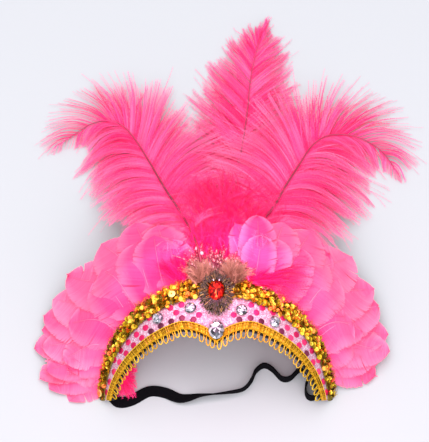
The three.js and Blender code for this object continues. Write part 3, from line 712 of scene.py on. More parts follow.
# the half-width of a vane at shares of its quill
vaneOutline = [(0, 0.03), (0.1, 0.12), (0.2, 0.46), (0.3, 0.76), (0.45, 0.95), (0.6, 1), (0.72, 0.98),
               (0.82, 0.91), (0.9, 0.8), (0.96, 0.66), (1.01, 0.48), (1.05, 0.28), (1.08, 0)]
vaneStyle = {
    "barbs": 88, "stations": 7, "from": 0.09, "to": 1.075, "uneven": 0.0006, "overlap": 0.72, "lowest": 0.6,
    "splits": (2, 6), "splitAt": (0.3, 0.95), "shift": 0.015, "lift": 0.5, "shorter": (0.94, 1.0),
    "ragged": 0.02, "slantRoot": 0.17, "slantTip": 0.085, "slantFades": (0.86, 1.08), "slantBend": 1.25,
    "slantUneven": 0.002, "fineFrom": 0.9, "cup": 3.4, "cupEdge": 1.6, "cupEnd": 1.05, "wave": (2.4, 6),
    "ripple": (4, 9, 0.6),
    "tipCurl": (-2.5, 2), "tipCurls": (0.75, 1.05), "edgeCurl": (-2, 2.5), "edgeCurls": (0.3, 0.8),
    "barbTone": 0.05, "tipPaler": 0.22, "edgePaler": 0.1, "rootDeeper": 0.34, "rootFades": (0.1, 0.75),
    "quillStations": 16, "quillRoot": 0.62, "quillTip": 0.14, "quillOver": 0.3, "quillPaler": 0.35,
    "quillAlong": 0.8,
}
gooseDye = newMaterial("dyedGooseVane", {
    "Roughness": 0.6, "IOR": 1.5, "Specular IOR Level": 0.25, "Sheen Weight": 0.15, "Sheen Roughness": 0.35,
    "Sheen Tint": linear("#ffb8d8"),
})


def finishGoose(m):
    # soft dyed vane: tone by feather and barb, paler to the outer edge, with cloudy patches
    body = ramp(m, mark(m, "shade"), [(0, "#fb1c68"), (0.35, "#fd3b7c"), (0.7, "#fe5e90"), (1, "#ff80a6")])
    edge = rescaled(m, mark(m, "along"), 0.5, 1.0, 0.42)
    cloudy = rescaled(m, objectNoise(m, 0.05, 3), 0.4, 0.7, 0.45)
    clouded = mixed(m, cloudy, body, linear("#ff3f80"))
    drive(m, "Base Color", mixed(m, edge, clouded, linear("#ff8eb0")))


finishGoose(gooseDye)


def vaneParts(start, bend, end, wide, height, tone, rng):
    # a quill and its barbs; height(x, y, across) gives where the sheet lies
    style, count, stations = vaneStyle, vaneStyle["barbs"], vaneStyle["stations"]
    phase = rng.uniform(0, 6, 2)
    tipCurl, edgeCurl = rng.uniform(*style["tipCurl"]), rng.uniform(*style["edgeCurl"])

    def at(t, c):
        # t along the quill, c from -1 to 1 across the vane
        one = 1 - t
        x, y = (one ** 2 * start[k] + 2 * one * t * bend[k] + t ** 2 * end[k] for k in (0, 1))
        dx, dy = (2 * one * (bend[k] - start[k]) + 2 * t * (end[k] - bend[k]) for k in (0, 1))
        size = np.hypot(dx, dy)
        across = c * np.interp(t, *np.array(vaneOutline).T) * wide / 2
        px, py = x + dy / size * across, y - dx / size * across
        cup = style["cup"] * (1 - np.abs(c) ** style["cupEdge"])
        cup = cup * np.sin(np.pi * np.clip(t * style["cupEnd"], 0, 1))
        wave = np.sin(style["wave"][0] * c + style["wave"][1] * t + phase[0]) * t * np.abs(c)
        byC, byT, high = style["ripple"]
        wave = wave + high * np.sin(byT * t + byC * c + phase[1]) * c * c
        curl = tipCurl * smooth(*style["tipCurls"], t)
        curl = curl + edgeCurl * np.abs(c) ** 3 * smooth(*style["edgeCurls"], t)
        z = height(px, py, across) + cup + wave + curl
        return np.stack([px, py, np.maximum(z, style["lowest"])], -1)

    parts = []
    for hand in (-1, 1):
        base = np.linspace(style["from"], style["to"], count) + rng.normal(0, style["uneven"], count)
        splits = np.sort(rng.uniform(*style["splitAt"], rng.integers(*style["splits"])))
        lock = np.searchsorted(splits, base)
        shift = rng.normal(0, style["shift"], len(splits) + 1)[lock]
        lift = rng.normal(0, style["lift"], len(splits) + 1)[lock]
        shorter = rng.uniform(*style["shorter"], len(splits) + 1)[lock]
        shorter = shorter * rng.normal(1, style["ragged"], count)
        u = np.linspace(0, 1, stations)[None]
        slant = style["slantRoot"] + (style["slantTip"] - style["slantRoot"]) * base
        slant = slant * (1 - smooth(*style["slantFades"], base)) + shift
        t = base[:, None] + slant[:, None] * u ** style["slantBend"]
        t = t + rng.normal(0, style["slantUneven"], (count, 1)) * u
        c = hand * u * shorter[:, None]
        half = style["overlap"] / count * np.where(u > style["fineFrom"], 0.5, 1)
        rise = np.stack([0 * t, 0 * t, lift[:, None] * u ** 2], -1)
        low, high = at(t - half, c) + rise, at(t + half, c) + rise
        shade = tone + rng.normal(0, style["barbTone"], (count, 1)) + style["edgePaler"] * u
        shade = shade + style["tipPaler"] * (base[:, None] - 0.5)
        shade = shade - style["rootDeeper"] * (1 - smooth(*style["rootFades"], t))
        shade = np.repeat(np.clip(shade, 0, 1)[..., None], 2, -1)
        left, right = (low, high) if hand > 0 else (high, low)
        parts.append(ribbons(right, left, shade.reshape(count, -1)))
    t = np.linspace(0, 1, style["quillStations"])
    quill = at(t[None], 0 * t[None]) + np.array([0, 0, style["quillOver"]])
    radii = np.linspace(style["quillRoot"], style["quillTip"], len(t))
    points, faces, shade, along = tubes(quill, radii, 4, np.array([min(1, tone + style["quillPaler"])]))
    parts.append((points, faces, shade, np.full(len(along), style["quillAlong"])))
    return parts


def fanVane(row, side, layer, rng, extra, deeper):
    root, tip, past, width = row
    swing = rng.uniform(*layer["swing"]) * side
    reach = past * goose["reach"] * layer["reach"]
    rootAngle = (root + goose["rootSwing"] * swing) * degrees
    start = fromRim(rootAngle, -goose["tuck"])
    bend = fromRim(rootAngle, reach * goose["bend"])
    end = fromRim((tip + swing) * degrees, reach)

    def height(x, y, across):
        sheet = slopeHeight(x, y, goose["half"], goose["stack"], goose["lift"])
        fromRoot = np.hypot(x - start[0], y - start[1])
        over = (layer["over"] + extra) * smooth(*goose["rise"], fromRoot)
        return sheet + side * goose["roll"] * across + over

    wide = width * goose["width"] * layer["width"] * rng.uniform(*goose["widths"])
    tone = layer["tone"] - deeper + rng.uniform(-goose["tones"], goose["tones"])
    return vaneParts(start, bend, end, wide, height, tone, rng)


downTuft = {
    "count": 34, "stations": 7, "past": (-2, 20), "length": (10, 22), "headings": 2.5, "splay": 36,
    "wavy": 34, "over": 4, "puff": (0, 3), "width": 0.5, "taper": 0.7, "shades": (0.1, 0.9),
    "facing": (0, 0.3, 1),
    "hair": {"perSide": 12, "length": 3.6, "half": 0.16, "taper": 0.4, "from": 0.05},
}


def rootDown(row, extra, rng):
    # loose down at the foot of a feather
    look, count = downTuft, downTuft["count"]
    angle = (row[0] + rng.normal(0, look["headings"], count)) * degrees
    begin = np.array([fromRim(a, rng.uniform(*look["past"])) for a in angle])
    t = np.linspace(0, 1, look["stations"])
    turn = rng.normal(0, look["splay"], (count, 1)) + rng.normal(0, look["wavy"], (count, 1)) * t
    step = rng.uniform(*look["length"], (count, 1)) / (look["stations"] - 1)
    x, y = walk(begin[:, :1], begin[:, 1:], angle[:, None] + turn * degrees, step)
    over = look["over"] + extra + rng.uniform(*look["puff"], (count, 1)) * np.sin(np.pi * t)
    paths = np.stack([x, y, slopeHeight(x, y, goose["half"], goose["stack"], goose["lift"]) + over], -1)
    shade = rng.uniform(*look["shades"], count)
    widths = tapered(look["width"], look["taper"], paths)
    return feathery(paths, widths, np.array(look["facing"], float), look["hair"], rng, shade)


for word, fan in fans.items():
    rng = np.random.default_rng(fan["seed"])
    for i, row in enumerate(fan["rows"], 1):
        name = "goose_feather_%s_%d" % (word, i)
        extra = fan["raised"].get(i, 0)
        deeper = max(0.0, goose["deeper"] - goose["paler"] * i)
        parts = []
        for layer in vaneLayers:
            parts += fanVane(row, fan["side"], layer, rng, extra, deeper)
        meshPiece(name + "_vane", parts, gooseDye, [name])
        meshPiece(name + "_down", rootDown(row, extra, rng), gooseDown)
print("goose fans made")

# fluffy tufts round the bead ruff; headings in degrees from straight ahead
tuftStyle = {
    "stations": 8, "width": 0.55, "taper": 0.75, "wavy": 26, "around": 2.5, "spread": (1, 0.7, 0.3),
    "climb": (0.05, 1), "long": (0.55, 1.05), "bow": 0.6, "droop": 0.3, "over": None, "uneven": 3,
    "half": 2.3, "stack": 11, "lowest": 0.8, "lean": 0.3, "sway": 0.6,
    "hair": {"perSide": 16, "length": 3.6, "half": 0.13, "taper": 0.5, "from": 0.05},
}


def tuftBarbs(root, tuft, rng):
    # barbs that rise from a root on the band, or with "over" lie that far over the plumes' slope
    look = {**tuftStyle, **tuft}
    count = look["count"]
    t = np.linspace(0, 1, look["stations"])
    heading = rng.uniform(*look["headings"], (count, 1)) * degrees
    turn = rng.normal(0, look["wavy"], (count, 1)) * degrees
    climb = rng.uniform(*look["climb"], (count, 1)) * look["rise"]
    step = look["length"] * rng.uniform(*look["long"], (count, 1)) / (look["stations"] - 1)
    start = np.array(root) + rng.normal(0, look["around"], (count, 3)) * np.array(look["spread"])
    x, y = walk(start[:, :1], start[:, 1:2], heading + turn * t, step)
    foot = start[:, 2:]
    if look["over"]:
        foot = slopeHeight(x, y, look["half"], look["stack"]) + look["over"]
        foot = foot + rng.uniform(0, look["uneven"], (count, 1))
    z = foot + climb * (np.sin(t * np.pi * look["bow"]) - look["droop"] * t ** 2)
    paths = np.stack([x, y, np.maximum(z, look["lowest"])], -1)
    shade = rng.uniform(0, 1, count)
    facing = barbFacing(look["lean"], look["sway"], rng, count)
    return feathery(paths, tapered(look["width"], look["taper"], paths), facing, look["hair"], rng, shade)


ruff = {"width": 28, "length": 40, "seat": 3.2, "at": 27}
ruffS = band["reach"] + ruff["at"]
tuftOver = 1.5
# place along the band in ruff widths and above the ruff's middle in half ruff lengths
tufts = {
    "tan_tuft_left": {"along": -0.4, "above": 0.5, "headings": (-50, 25), "count": 210, "length": 18,
                      "rise": 6, "material": tanDown, "slot": "tan_down", "seed": 31},
    "tan_tuft_right": {"along": 0.4, "above": 0.5, "headings": (-25, 50), "count": 210, "length": 19,
                       "rise": 6, "material": tanDown, "slot": "tan_down", "seed": 32},
    "marabou_left": {"along": -0.95, "above": 0.75, "headings": (-60, 20), "count": 190, "length": 29,
                     "rise": 8, "material": marabouDye, "slot": "marabou", "seed": 33},
    "marabou_right": {"along": 0.95, "above": 0.7, "headings": (20, 105), "count": 290, "length": 44,
                      "rise": 9, "material": marabouDye, "slot": "marabou", "seed": 34},
}


def besideRuff(x, above):
    s = ruffS + above * ruff["length"] / 2
    return onBand(alongAt(x, s), s, braidTop + tuftOver)


for name, tuft in tufts.items():
    rng = np.random.default_rng(tuft["seed"])
    parts = tuftBarbs(besideRuff(tuft["along"] * ruff["width"], tuft["above"]), tuft, rng)
    meshPiece(name + "_down", parts, tuft["material"], [name])

# down and curly barbs between the feet of the plumes: place, barbs, headings, length
footStyle = {
    "rise": 7, "droop": 0.6, "around": 7, "over": 5,
    "hair": {"perSide": 20, "length": 4.2, "half": 0.17, "taper": 0.45, "from": 0.05},
}
footTufts = {
    "plume_foot_down": {"material": marabouDye, "wavy": 42, "feet": [
        (18, 138, 130, -60, 60, 26), (12, 118, 110, -40, 50, 30), (-4, 108, 100, -40, 40, 28),
        (22, 106, 90, -30, 60, 30), (4, 100, 80, -40, 50, 28),
    ]},
    # the curls take the darker ostrich dye, painted shade between the plumes' feet
    "plume_foot_curls": {"material": shadedOstrichDye, "wavy": 48, "feet": [
        (-6, 118, 110, -32, 20, 50), (4, 126, 110, -30, 40, 54), (26, 116, 90, -5, 60, 48),
        (-2, 150, 90, -35, 30, 48), (16, 158, 80, -20, 55, 46),
    ]},
}
rng = np.random.default_rng(35)
for name, group in footTufts.items():
    parts = []
    for x, y, count, low, high, length in group["feet"]:
        tuft = {**footStyle, "count": count, "headings": (low, high), "length": length, "wavy": group["wavy"]}
        parts += tuftBarbs((x, y, 0), tuft, rng)
    meshPiece(name, parts, group["material"])

# spotted guinea fowl bits above the ruff: dark vanes with pale dots
spotted = {"above": 0.9, "dotsPerMm": 0.42, "places": [(-9, (-80, 0)), (0, (-40, 40)), (10, (10, 85))],
           "barbs": {"count": 24, "length": 26, "rise": 7, "width": 0.8}}
spottedDown = newMaterial("spottedGuineaFowl", {"Roughness": 0.8, "Specular IOR Level": 0.2})
dotDistance = add(spottedDown, "ShaderNodeTexVoronoi", inputs={
    "Vector": objectPlace(spottedDown), "Scale": spotted["dotsPerMm"] / mm}).outputs["Distance"]
drive(spottedDown, "Base Color", ramp(spottedDown, dotDistance, [
    (0.0, "#efc8c6"), (0.34, "#cf9496"), (0.46, "#7a2a40"), (1, "#5a1630")]))
rng = np.random.default_rng(36)
parts = []
for x, headings in spotted["places"]:
    parts += tuftBarbs(besideRuff(x, spotted["above"]), {**spotted["barbs"], "headings": headings}, rng)
meshPiece("spotted_tuft_down", parts, spottedDown, ["spotted_tuft"])

# hot pink feather inside the arch at the left, hanging from the backing to the table
innerFeather = {
    "at": -0.76, "under": 1.6, "count": 240, "stations": 9, "width": 0.9, "taper": 0.6,
    "around": (1.5, 2, 0.3), "shift": 3, "wider": 8, "heights": (1.6, 9), "sag": 4,
    "lowest": 0.9, "shades": (0.2, 1), "facing": (0.3, -0.6, 0.7),
}
rng = np.random.default_rng(37)
root = onBand(innerFeather["at"], band["reach"] + band["endWidth"], -band["backing"] - innerFeather["under"])
low, high = (np.array(corner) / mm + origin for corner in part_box("inner_feather"))
count = innerFeather["count"]
start = root + rng.normal(0, 1, (count, 3)) * np.array(innerFeather["around"])
ends = np.stack([
    rng.uniform(low[0] + innerFeather["shift"], high[0] + innerFeather["shift"], count),
    rng.uniform(low[1] - innerFeather["wider"], high[1] + innerFeather["wider"], count),
    rng.uniform(*innerFeather["heights"], count),
], -1)
t = np.linspace(0, 1, innerFeather["stations"])[None, :, None]
sag = np.array([0, 0, innerFeather["sag"]]) * np.sin(np.pi * t)
paths = aboveTable(start[:, None] * (1 - t) + ends[:, None] * t - sag, innerFeather["lowest"])
shade = rng.uniform(*innerFeather["shades"], count)
widths = tapered(innerFeather["width"], innerFeather["taper"], paths)
meshPiece("inner_feather_down", feathery(
    paths, widths, np.array(innerFeather["facing"]), tuftStyle["hair"], rng, shade,
), marabouDye, ["inner_feather"])
print("tufts made")

# black padded backing, with a blunt rolled edge, puckered by a row of stitches
backing = {"along": 220, "across": 8, "thick": band["backing"], "bevel": 0.9, "pucker": 0.25, "puckers": 150,
           "puckerShare": 0.05}
stitch = {"pitch": 3.4, "length": 0.62, "inset": 2.5, "span": 0.98, "radius": 0.22,
          "bow": (0.15, -0.12, -0.12, 0.15)}
felt = toned("needledBlackFelt", [(0.3, "#0d0b0f"), (0.7, "#1d191f")],
             {"Roughness": 0.95, "Specular IOR Level": 0.15, "Sheen Weight": 0.2}, perMm=1.2, detail=4)
bumped(felt, objectNoise(felt, 2.5, 3), 0.4, 0.3)


def backingPuff(a, share):
    deep = np.exp(-(share / backing["puckerShare"]) ** 2)
    return -backing["pucker"] * (0.5 + 0.5 * np.cos(a * backing["puckers"])) * deep


feltPiece = meshPiece("backing_felt", [bandGrid(
    lambda a: innerEdge(a) - band["backingShow"], lambda a: outerEdge(a) - band["rimInset"],
    backing, 0.0, backingPuff,
)], felt, ["band_backing"])
a = np.linspace(-stitch["span"], stitch["span"], int(2 * innerHalf / stitch["pitch"]))[:, None]
run = np.linspace(-0.5, 0.5, len(stitch["bow"])) * stitch["pitch"] * stitch["length"] / innerHalf
stitches = onBand(a + run, innerEdge(a) + stitch["inset"] + 0 * run,
                  0 * a + np.array(stitch["bow"]) - band["backing"])
blackThread = newMaterial("blackCottonThread", {"Base Color": linear("#2a262c"), "Roughness": 0.8})
meshPiece("backing_stitches", [tubes(stitches, stitch["radius"], 5, np.zeros(len(a)), up=(0.1, 0.2, 1))],
          blackThread)

# cloth facing: pale pink knit with a net of tiny silver flecks, drawn large enough to show
cloth = {"along": 200, "across": 8, "thick": clothThick, "ripple": 0.15, "ripples": (90, 9),
         "netPerMm": 0.75, "flecksPerMm": 1.1, "stations": 400}
netCloth = newMaterial("glitterNetCloth", {"Roughness": 0.5, "Specular IOR Level": 0.5})


def finishNet(m):
    where = objectPlace(m)
    cells = add(m, "ShaderNodeTexVoronoi", {"feature": "DISTANCE_TO_EDGE"},
                {"Vector": where, "Scale": cloth["netPerMm"] / mm}).outputs["Distance"]
    flecks = add(m, "ShaderNodeTexVoronoi", inputs={"Vector": where, "Scale": cloth["flecksPerMm"] / mm})
    threads = ramp(m, cells, [(0, "#cfa2b5"), (0.12, "#a8758c"), (0.5, "#86546a")])
    bright = ramp(m, flecks.outputs["Color"], [(0.62, "#000000"), (0.74, "#ffffff")])
    drive(m, "Base Color", mixed(m, bright, threads, linear("#d6c2ce")))
    drive(m, "Metallic", mixed(m, bright, linear("#000000"), linear("#b0b0b0")))
    bumped(m, cells, 0.5, 0.3)


def clothRipple(a, share):
    alongWaves, acrossWaves = cloth["ripples"]
    return -cloth["ripple"] * (0.5 + 0.5 * np.sin(a * alongWaves) * np.sin(share * acrossWaves))


finishNet(netCloth)
clothPiece = meshPiece("glitter_cloth", [bandGrid(
    lambda a: headerOuter(a) + gap, lambda a: braidInner(a) - gap, cloth, clothTop, clothRipple,
)], netCloth, ["sequin_cloth"])
a = np.linspace(-1, 1, cloth["stations"])

# foil dots in staggered rows, clear of the stones and of the ruff; most of the first row is wine red
dots = {
    "radius": 2.7, "sides": 14, "pitch": 9.2, "rowPitch": 6.0, "rows": 4, "span": 0.985, "tilt": 0.06,
    "under": 0.2, "sunk": 0.1, "clear": 0.9, "underRuff": (15, 21), "edge": (0.4, 0.94, 0), "rim": 1.1,
    "dome": 0.25, "wineWithin": 56, "wineShare": 0.95, "wineElsewhere": 0.1,
}
# the stones' middles in front widths of the band, along it and past its inner edge
stones = {
    "round_stone_1": (-1.162, 0.412), "round_stone_2": (-0.496, 0.4),
    "round_stone_3": (0.484, 0.351), "round_stone_4": (1.162, 0.339),
}
roundStone = {"width": 10, "length": 10, "height": 4}
ovalStone = {"width": 13, "length": 18, "height": 5, "at": -6}
redStone = {"width": 13, "length": 18, "height": 4.6}
turned(dots["sides"], dots["radius"], [dots["edge"]], fill="NGON")
bpy.ops.mesh.inset(thickness=dots["rim"])
bpy.ops.transform.translate(value=(0, 0, dots["dome"]))
dotModel = takeModel()

most = math.ceil(innerHalf / dots["pitch"])
margin = dots["radius"] * dots["clear"]
keepOut = [(along * band["frontWidth"], up * band["frontWidth"], roundStone["width"] / 2 + margin)
           for along, up in stones.values()]
keepOut.append((0, ovalStone["at"], ovalStone["length"] / 2 + margin))
rng = np.random.default_rng(41)
dotPlaces = {"pink": [], "wine": []}
for row in range(dots["rows"]):
    for i in range(-most, most + 1):
        x = (i + (row % 2) / 2) * dots["pitch"]
        s = float(headerOuter(x / innerHalf)) + gap + dots["radius"] + row * dots["rowPitch"]
        a = float(alongAt(x, s))
        up = s - band["reach"]
        fits = abs(a) < dots["span"] and s + dots["radius"] * dots["under"] < float(braidInner(a))
        clear = all(math.hypot(x - kx, up - ky) > far for kx, ky, far in keepOut)
        hidden = math.hypot(x / dots["underRuff"][0], (up - ruff["at"]) / dots["underRuff"][1]) < 1
        if fits and clear and not hidden:
            place = seat(a, s, clothTop - dots["sunk"], tilt=tuple(rng.normal(0, dots["tilt"], 3)))
            wineRow = row == 0 and abs(x) < dots["wineWithin"]
            wine = rng.random() < dots["wineShare" if wineRow else "wineElsewhere"]
            dotPlaces["wine" if wine else "pink"].append(place)
foils = {
    "pink": [(0, "#b80c4c"), (0.5, "#de1c62"), (1, "#f4487e")],
    "wine": [(0, "#3f0a22"), (0.5, "#5e1a38"), (1, "#8a2a54")],
}
for word, stops in foils.items():
    # hologram foil: a hard shine whose tone jumps from dot to dot
    foil = toned(word + "HologramFoil", stops, {"Metallic": 0.55, "Roughness": 0.28})
    bumped(foil, objectNoise(foil, 0.5), 0.35, 0.3)
    places = dotPlaces[word]
    laid = copies(dotModel, places, rng.uniform(0, 1, len(places)))
    meshPiece("foil_dots_" + word, [laid], foil, smoothFaces=False)
print("facing made")

# cut stones: a girdle, two rings of crown facets and a table, each tier turned against the last
cut = {"sides": 14, "foot": 0.94, "table": 0.05,
       "tiers": [(0.14, 1 / 0.94, 0), (0.12, 1, 0), (0.34, 0.82, 12.9), (0.3, 0.66, 12.9)]}
turned(cut["sides"], cut["foot"], cut["tiers"], fill="NGON")
bpy.ops.mesh.poke(offset=cut["table"])
stoneModel = takeModel()


def glassWithPaintedReflections(name, stops, metallic, gloss):
    # foil-backed glass: each facet's random tone, from dark to bright, is a painted reflection
    return toned(name, stops, {
        "Metallic": metallic, "Roughness": 0.08, "Specular IOR Level": gloss, "Coat Weight": gloss,
        "Coat Roughness": 0.03,
    })


def setStone(name, x, up, n, stone, glass):
    s = band["reach"] + up
    place = seat(alongAt(x, s), s, n, (stone["width"] / 2, stone["length"] / 2, stone["height"]))
    meshPiece(name + "_cut", [copies(facets(stoneModel, rng), [place])], glass, [name], False)


# clear stones: the dark, grey, white and pinkish facets are painted reflections
clearGlass = glassWithPaintedReflections("clearGlassPaintedReflections", [
    (0, "#14171c"), (0.25, "#434850"), (0.5, "#80868f"), (0.75, "#bcc0c6"), (0.9, "#e6e9ec"), (1, "#cdb2be"),
], 0.6, 0.4)
# red stone: the glass's own red, with dark facets and orange glints painted in as reflections
redGlass = glassWithPaintedReflections("redGlassPaintedReflections", [
    (0, "#240000"), (0.4, "#6c0200"), (0.75, "#a40a03"), (0.93, "#d42c10"), (1, "#f47038"),
], 0.35, 0.08)
redSeat = braidTop + gap + ruff["seat"] + gap
rng = np.random.default_rng(42)
for name, (along, up) in stones.items():
    x, up = along * band["frontWidth"], up * band["frontWidth"]
    setStone(name, x, up, clothTop + gap, roundStone, clearGlass)
setStone("oval_stone", 0.0, ovalStone["at"], headerTop + gap, ovalStone, clearGlass)
setStone("centre_stone", 0.0, ruff["at"], redSeat, redStone, redGlass)

# two claws over the red stone's upper end: across from its middle, then past it and off its seat
prong = {"across": 2.6, "radius": 0.55,
         "bend": [(1.25, 9.4, 0.5), (1.15, 9.2, 3.4), (1, 8.2, 4.6), (0.8, 6.6, 4.9)]}
silver = newMaterial("nickelPlatedProng", {
    "Base Color": linear("#c9cbce"), "Metallic": 1.0, "Roughness": 0.2,
})
ruffAxes = np.stack(bandAxes(0.0, ruffS), -1)
prongs = [[coneTip + ruffAxes @ np.array([x * wider, ruffS + past, redSeat + off])
           for wider, past, off in prong["bend"]] for x in (-prong["across"], prong["across"])]
meshPiece("stone_prongs", [tubes(np.array(prongs), prong["radius"], 6, np.zeros(2))], silver)
print("stones made")

# bead ruff: bugle beads that stand out round the red stone, seed beads at their ends
# a tier goes from an inner to an outer share of the ruff, with a count, and falls from a height to another
bead = {
    "bugle": 0.42, "bugleEdge": 0.08, "seed": 0.72, "seedFlat": 0.75, "jitter": 0.07, "reach": (0.9, 1.05),
    "uneven": 0.5, "lowest": 0.4, "seeded": 0.8, "atTip": 0.6, "midway": 0.3, "seedOver": 0.4,
    "bugleTones": (1.3, 2.4), "seedTones": (1.5, 2.0),
    "tiers": [(0.5, 0.74, 44, 4.2, 5.2), (0.56, 0.9, 56, 3.6, 3.4), (0.68, 0.99, 64, 2.6, 1.7),
              (0.6, 0.94, 50, 4.6, 4.0), (0.78, 1.05, 66, 1.6, 0.4)],
}
bpy.ops.mesh.primitive_cylinder_add(vertices=6, radius=bead["bugle"], depth=1)
startEdit()
bpy.ops.mesh.bevel(offset=bead["bugleEdge"], segments=1, affect="EDGES")
bugleModel = takeModel()


def ball(segments, rings, radius, flat):
    bpy.ops.mesh.primitive_uv_sphere_add(segments=segments, ring_count=rings, radius=radius)
    startEdit()
    resize(1, 1, flat)
    return takeModel()


def onRuff(place):
    return coneTip + ruffAxes @ (np.array([0, ruffS, braidTop + gap]) + place)


seedModel = ball(8, 5, bead["seed"], bead["seedFlat"])
beadGlass = toned("linedSeedBeads", [
    (0, "#100e08"), (0.3, "#31270f"), (0.55, "#524218"), (0.72, "#796228"), (0.86, "#a48942"),
    (0.95, "#4a7068"), (1, "#aeb2a4"),
], {"Metallic": 0.5, "Roughness": 0.2, "Coat Weight": 0.6})
rng = np.random.default_rng(51)
bugles, seeds = [], []
for tier, (inner, outer, count, high, low) in enumerate(bead["tiers"]):
    for i in range(count):
        turn = 2 * math.pi * (i + 0.5 * (tier % 2)) / count + rng.normal(0, bead["jitter"])
        skewed = turn + rng.normal(0, bead["jitter"])
        furthest = outer * rng.uniform(*bead["reach"])
        lower = low + rng.normal(0, bead["uneven"])
        ends = [np.array([r * ruff["width"] / 2 * math.cos(angle), r * ruff["length"] / 2 * math.sin(angle),
                          max(bead["lowest"], z)])
                for r, z, angle in ((inner, high, turn), (furthest, lower, skewed))]
        way = ends[1] - ends[0]
        basis = ruffAxes @ np.array(Vector(way).to_track_quat("Z", "X").to_matrix())
        basis = basis @ np.diag([1, 1, float(np.linalg.norm(way))])
        bugles.append(np.concatenate([basis, onRuff((ends[0] + ends[1]) / 2)[:, None]], 1))
        if rng.random() < bead["seeded"]:
            share = 1 if rng.random() < bead["atTip"] else bead["midway"]
            at = ends[0] * (1 - share) + ends[1] * share + np.array([0, 0, bead["seedOver"]])
            seeds.append(np.concatenate([ruffAxes, onRuff(at)[:, None]], 1))
meshPiece("bead_ruff_beads", [
    copies(bugleModel, bugles, rng.beta(*bead["bugleTones"], len(bugles))),
    copies(seedModel, seeds, rng.beta(*bead["seedTones"], len(seeds))),
], beadGlass, ["bead_ruff"], False)

# sequin braid: cup sequins sewn in a zigzag over an olive net
braidNet = {"along": 200, "across": 4, "thick": 1.4}
sequins = {
    "radius": 2.15, "sides": 10, "deep": 0.5, "cup": [(-0.5, 0.55, 0), (0, 0.32, 0)], "pitch": 2.7,
    "rowPitch": 2.9, "arcAt": 185, "span": 0.985, "zigzag": 0.25, "spread": 1.1, "uneven": 0.03,
    "shares": (-0.06, 0.98), "leanAlong": 0.25, "leanAcross": 0.3, "tilt": 0.32, "stray": 0.004, "over": 2.1,
    "lift": 0.9, "sizes": (0.85, 1.08), "lowest": 2.2,
}
turned(sequins["sides"], sequins["radius"], sequins["cup"], base=sequins["deep"])
sequinModel = takeModel()
# each sequin's random tone: the film's own gold, with olive and orange ends that are painted glints
goldFilmAndGlints = toned("goldSequinFilmAndPaintedGlints", [
    (0, "#5c4e0e"), (0.25, "#9c8016"), (0.5, "#d2aa28"), (0.82, "#f2d04c"), (0.92, "#ef8a44"), (1, "#f2773a"),
], {"Metallic": 0.95, "Roughness": 0.24})
oliveNet = toned("oliveNetBraid", [(0.3, "#463c10"), (0.7, "#94801f")], {"Metallic": 0.4, "Roughness": 0.5},
                 perMm=0.9, detail=3)
meshPiece("braid_base", [bandGrid(braidInner, outerEdge, braidNet, gap + braidNet["thick"])], oliveNet,
          ["sequin_braid"])
rng = np.random.default_rng(61)
places = []
arc = 2 * band["wrapOuter"] * math.sin(band["flare"]) * sequins["arcAt"]
for k in range(int(arc / sequins["pitch"])):
    a = (2 * (k + 0.5) * sequins["pitch"] / arc - 1) * sequins["span"]
    width = float(between(braid["end"], braid["front"], a))
    rows = max(2, round(width / sequins["rowPitch"]))
    for row in range(rows):
        share = (row + 0.5 + sequins["zigzag"] * (k % 2 * 2 - 1)) / rows
        share = share * sequins["spread"] + 1 - sequins["spread"] + rng.normal(0, sequins["uneven"])
        s = float(braidInner(a)) + width * float(np.clip(share, *sequins["shares"]))
        lean = 1 if (k // 2 + row) % 2 else -1
        tilt = (rng.normal(sequins["leanAlong"] * lean, sequins["tilt"]),
                rng.normal(sequins["leanAcross"] * lean, sequins["tilt"]), rng.uniform(0, 6))
        at = a + rng.normal(0, sequins["stray"])
        over = gap + sequins["over"] + rng.uniform(0, sequins["lift"])
        place = seat(at, s, over, (rng.uniform(*sequins["sizes"]),) * 3, tilt)
        place[2, 3] = max(place[2, 3], sequins["lowest"])
        places.append(place)
meshPiece("sequin_braid_sequins", [copies(sequinModel, places, rng.uniform(0, 1, len(places)))], goldFilmAndGlints,
          smoothFaces=False)

# thin gold threads that stand off the braid's outer edge
threads = {
    "count": 420, "radius": 0.15, "stations": 7, "span": 0.98, "swing": 0.02, "inset": (0, 3),
    "long": (2.5, 5), "arcs": (1.6, 3.0), "over": 1.6, "rise": (0, 2.5), "lowest": 0.4,
}
each = (threads["count"], 1)
a = rng.uniform(-threads["span"], threads["span"], each)
t = np.linspace(0, 1, threads["stations"])
swing = rng.normal(0, threads["swing"], each) * t
s = outerEdge(a) - rng.uniform(*threads["inset"], each)
s = s + rng.uniform(*threads["long"], each) * np.sin(t * rng.uniform(*threads["arcs"], each))
paths = onBand(a + swing, s, threads["over"] + rng.uniform(*threads["rise"], each) * np.sin(t * np.pi))
goldThread = toned("lurexGoldThread", [(0, "#86660a"), (0.4, "#cc9c18"), (0.8, "#f0cc3a"), (1, "#ee9a4c")],
                   {"Metallic": 0.8, "Roughness": 0.36})
meshPiece("braid_threads", [tubes(aboveTable(paths, threads["lowest"]), threads["radius"], 3,
                                  rng.uniform(0, 1, len(a)), up=(0.1, -1, 0.3))], goldThread)

# two loose round sequins with a hole
looseSequin = {"radius": 3.2, "sides": 20, "cup": [(0.25, 0.8, 0), (0, 0.28, 0)], "thick": 0.5, "over": 0.6,
               "places": (-0.235, -0.95)}
turned(looseSequin["sides"], looseSequin["radius"], looseSequin["cup"])
bpy.ops.mesh.select_all(action="SELECT")
bpy.ops.mesh.extrude_region_move(TRANSFORM_OT_translate={"value": (0, 0, looseSequin["thick"])})
looseModel = takeModel()
brightGold = toned("polishedGoldSequin", [(0.3, "#efc83a"), (0.6, "#fff08c")],
                   {"Metallic": 0.9, "Roughness": 0.22}, perMm=0.3)
for i, a in enumerate(looseSequin["places"], 1):
    place = seat(a, float(outerEdge(a) + braidInner(a)) / 2, braidTop + looseSequin["over"])
    name = "loose_sequin_%d" % i
    laid = copies(looseModel, [place], np.zeros(1))
    meshPiece(name + "_foil", [laid], brightGold, [name], False)
print("braid made")

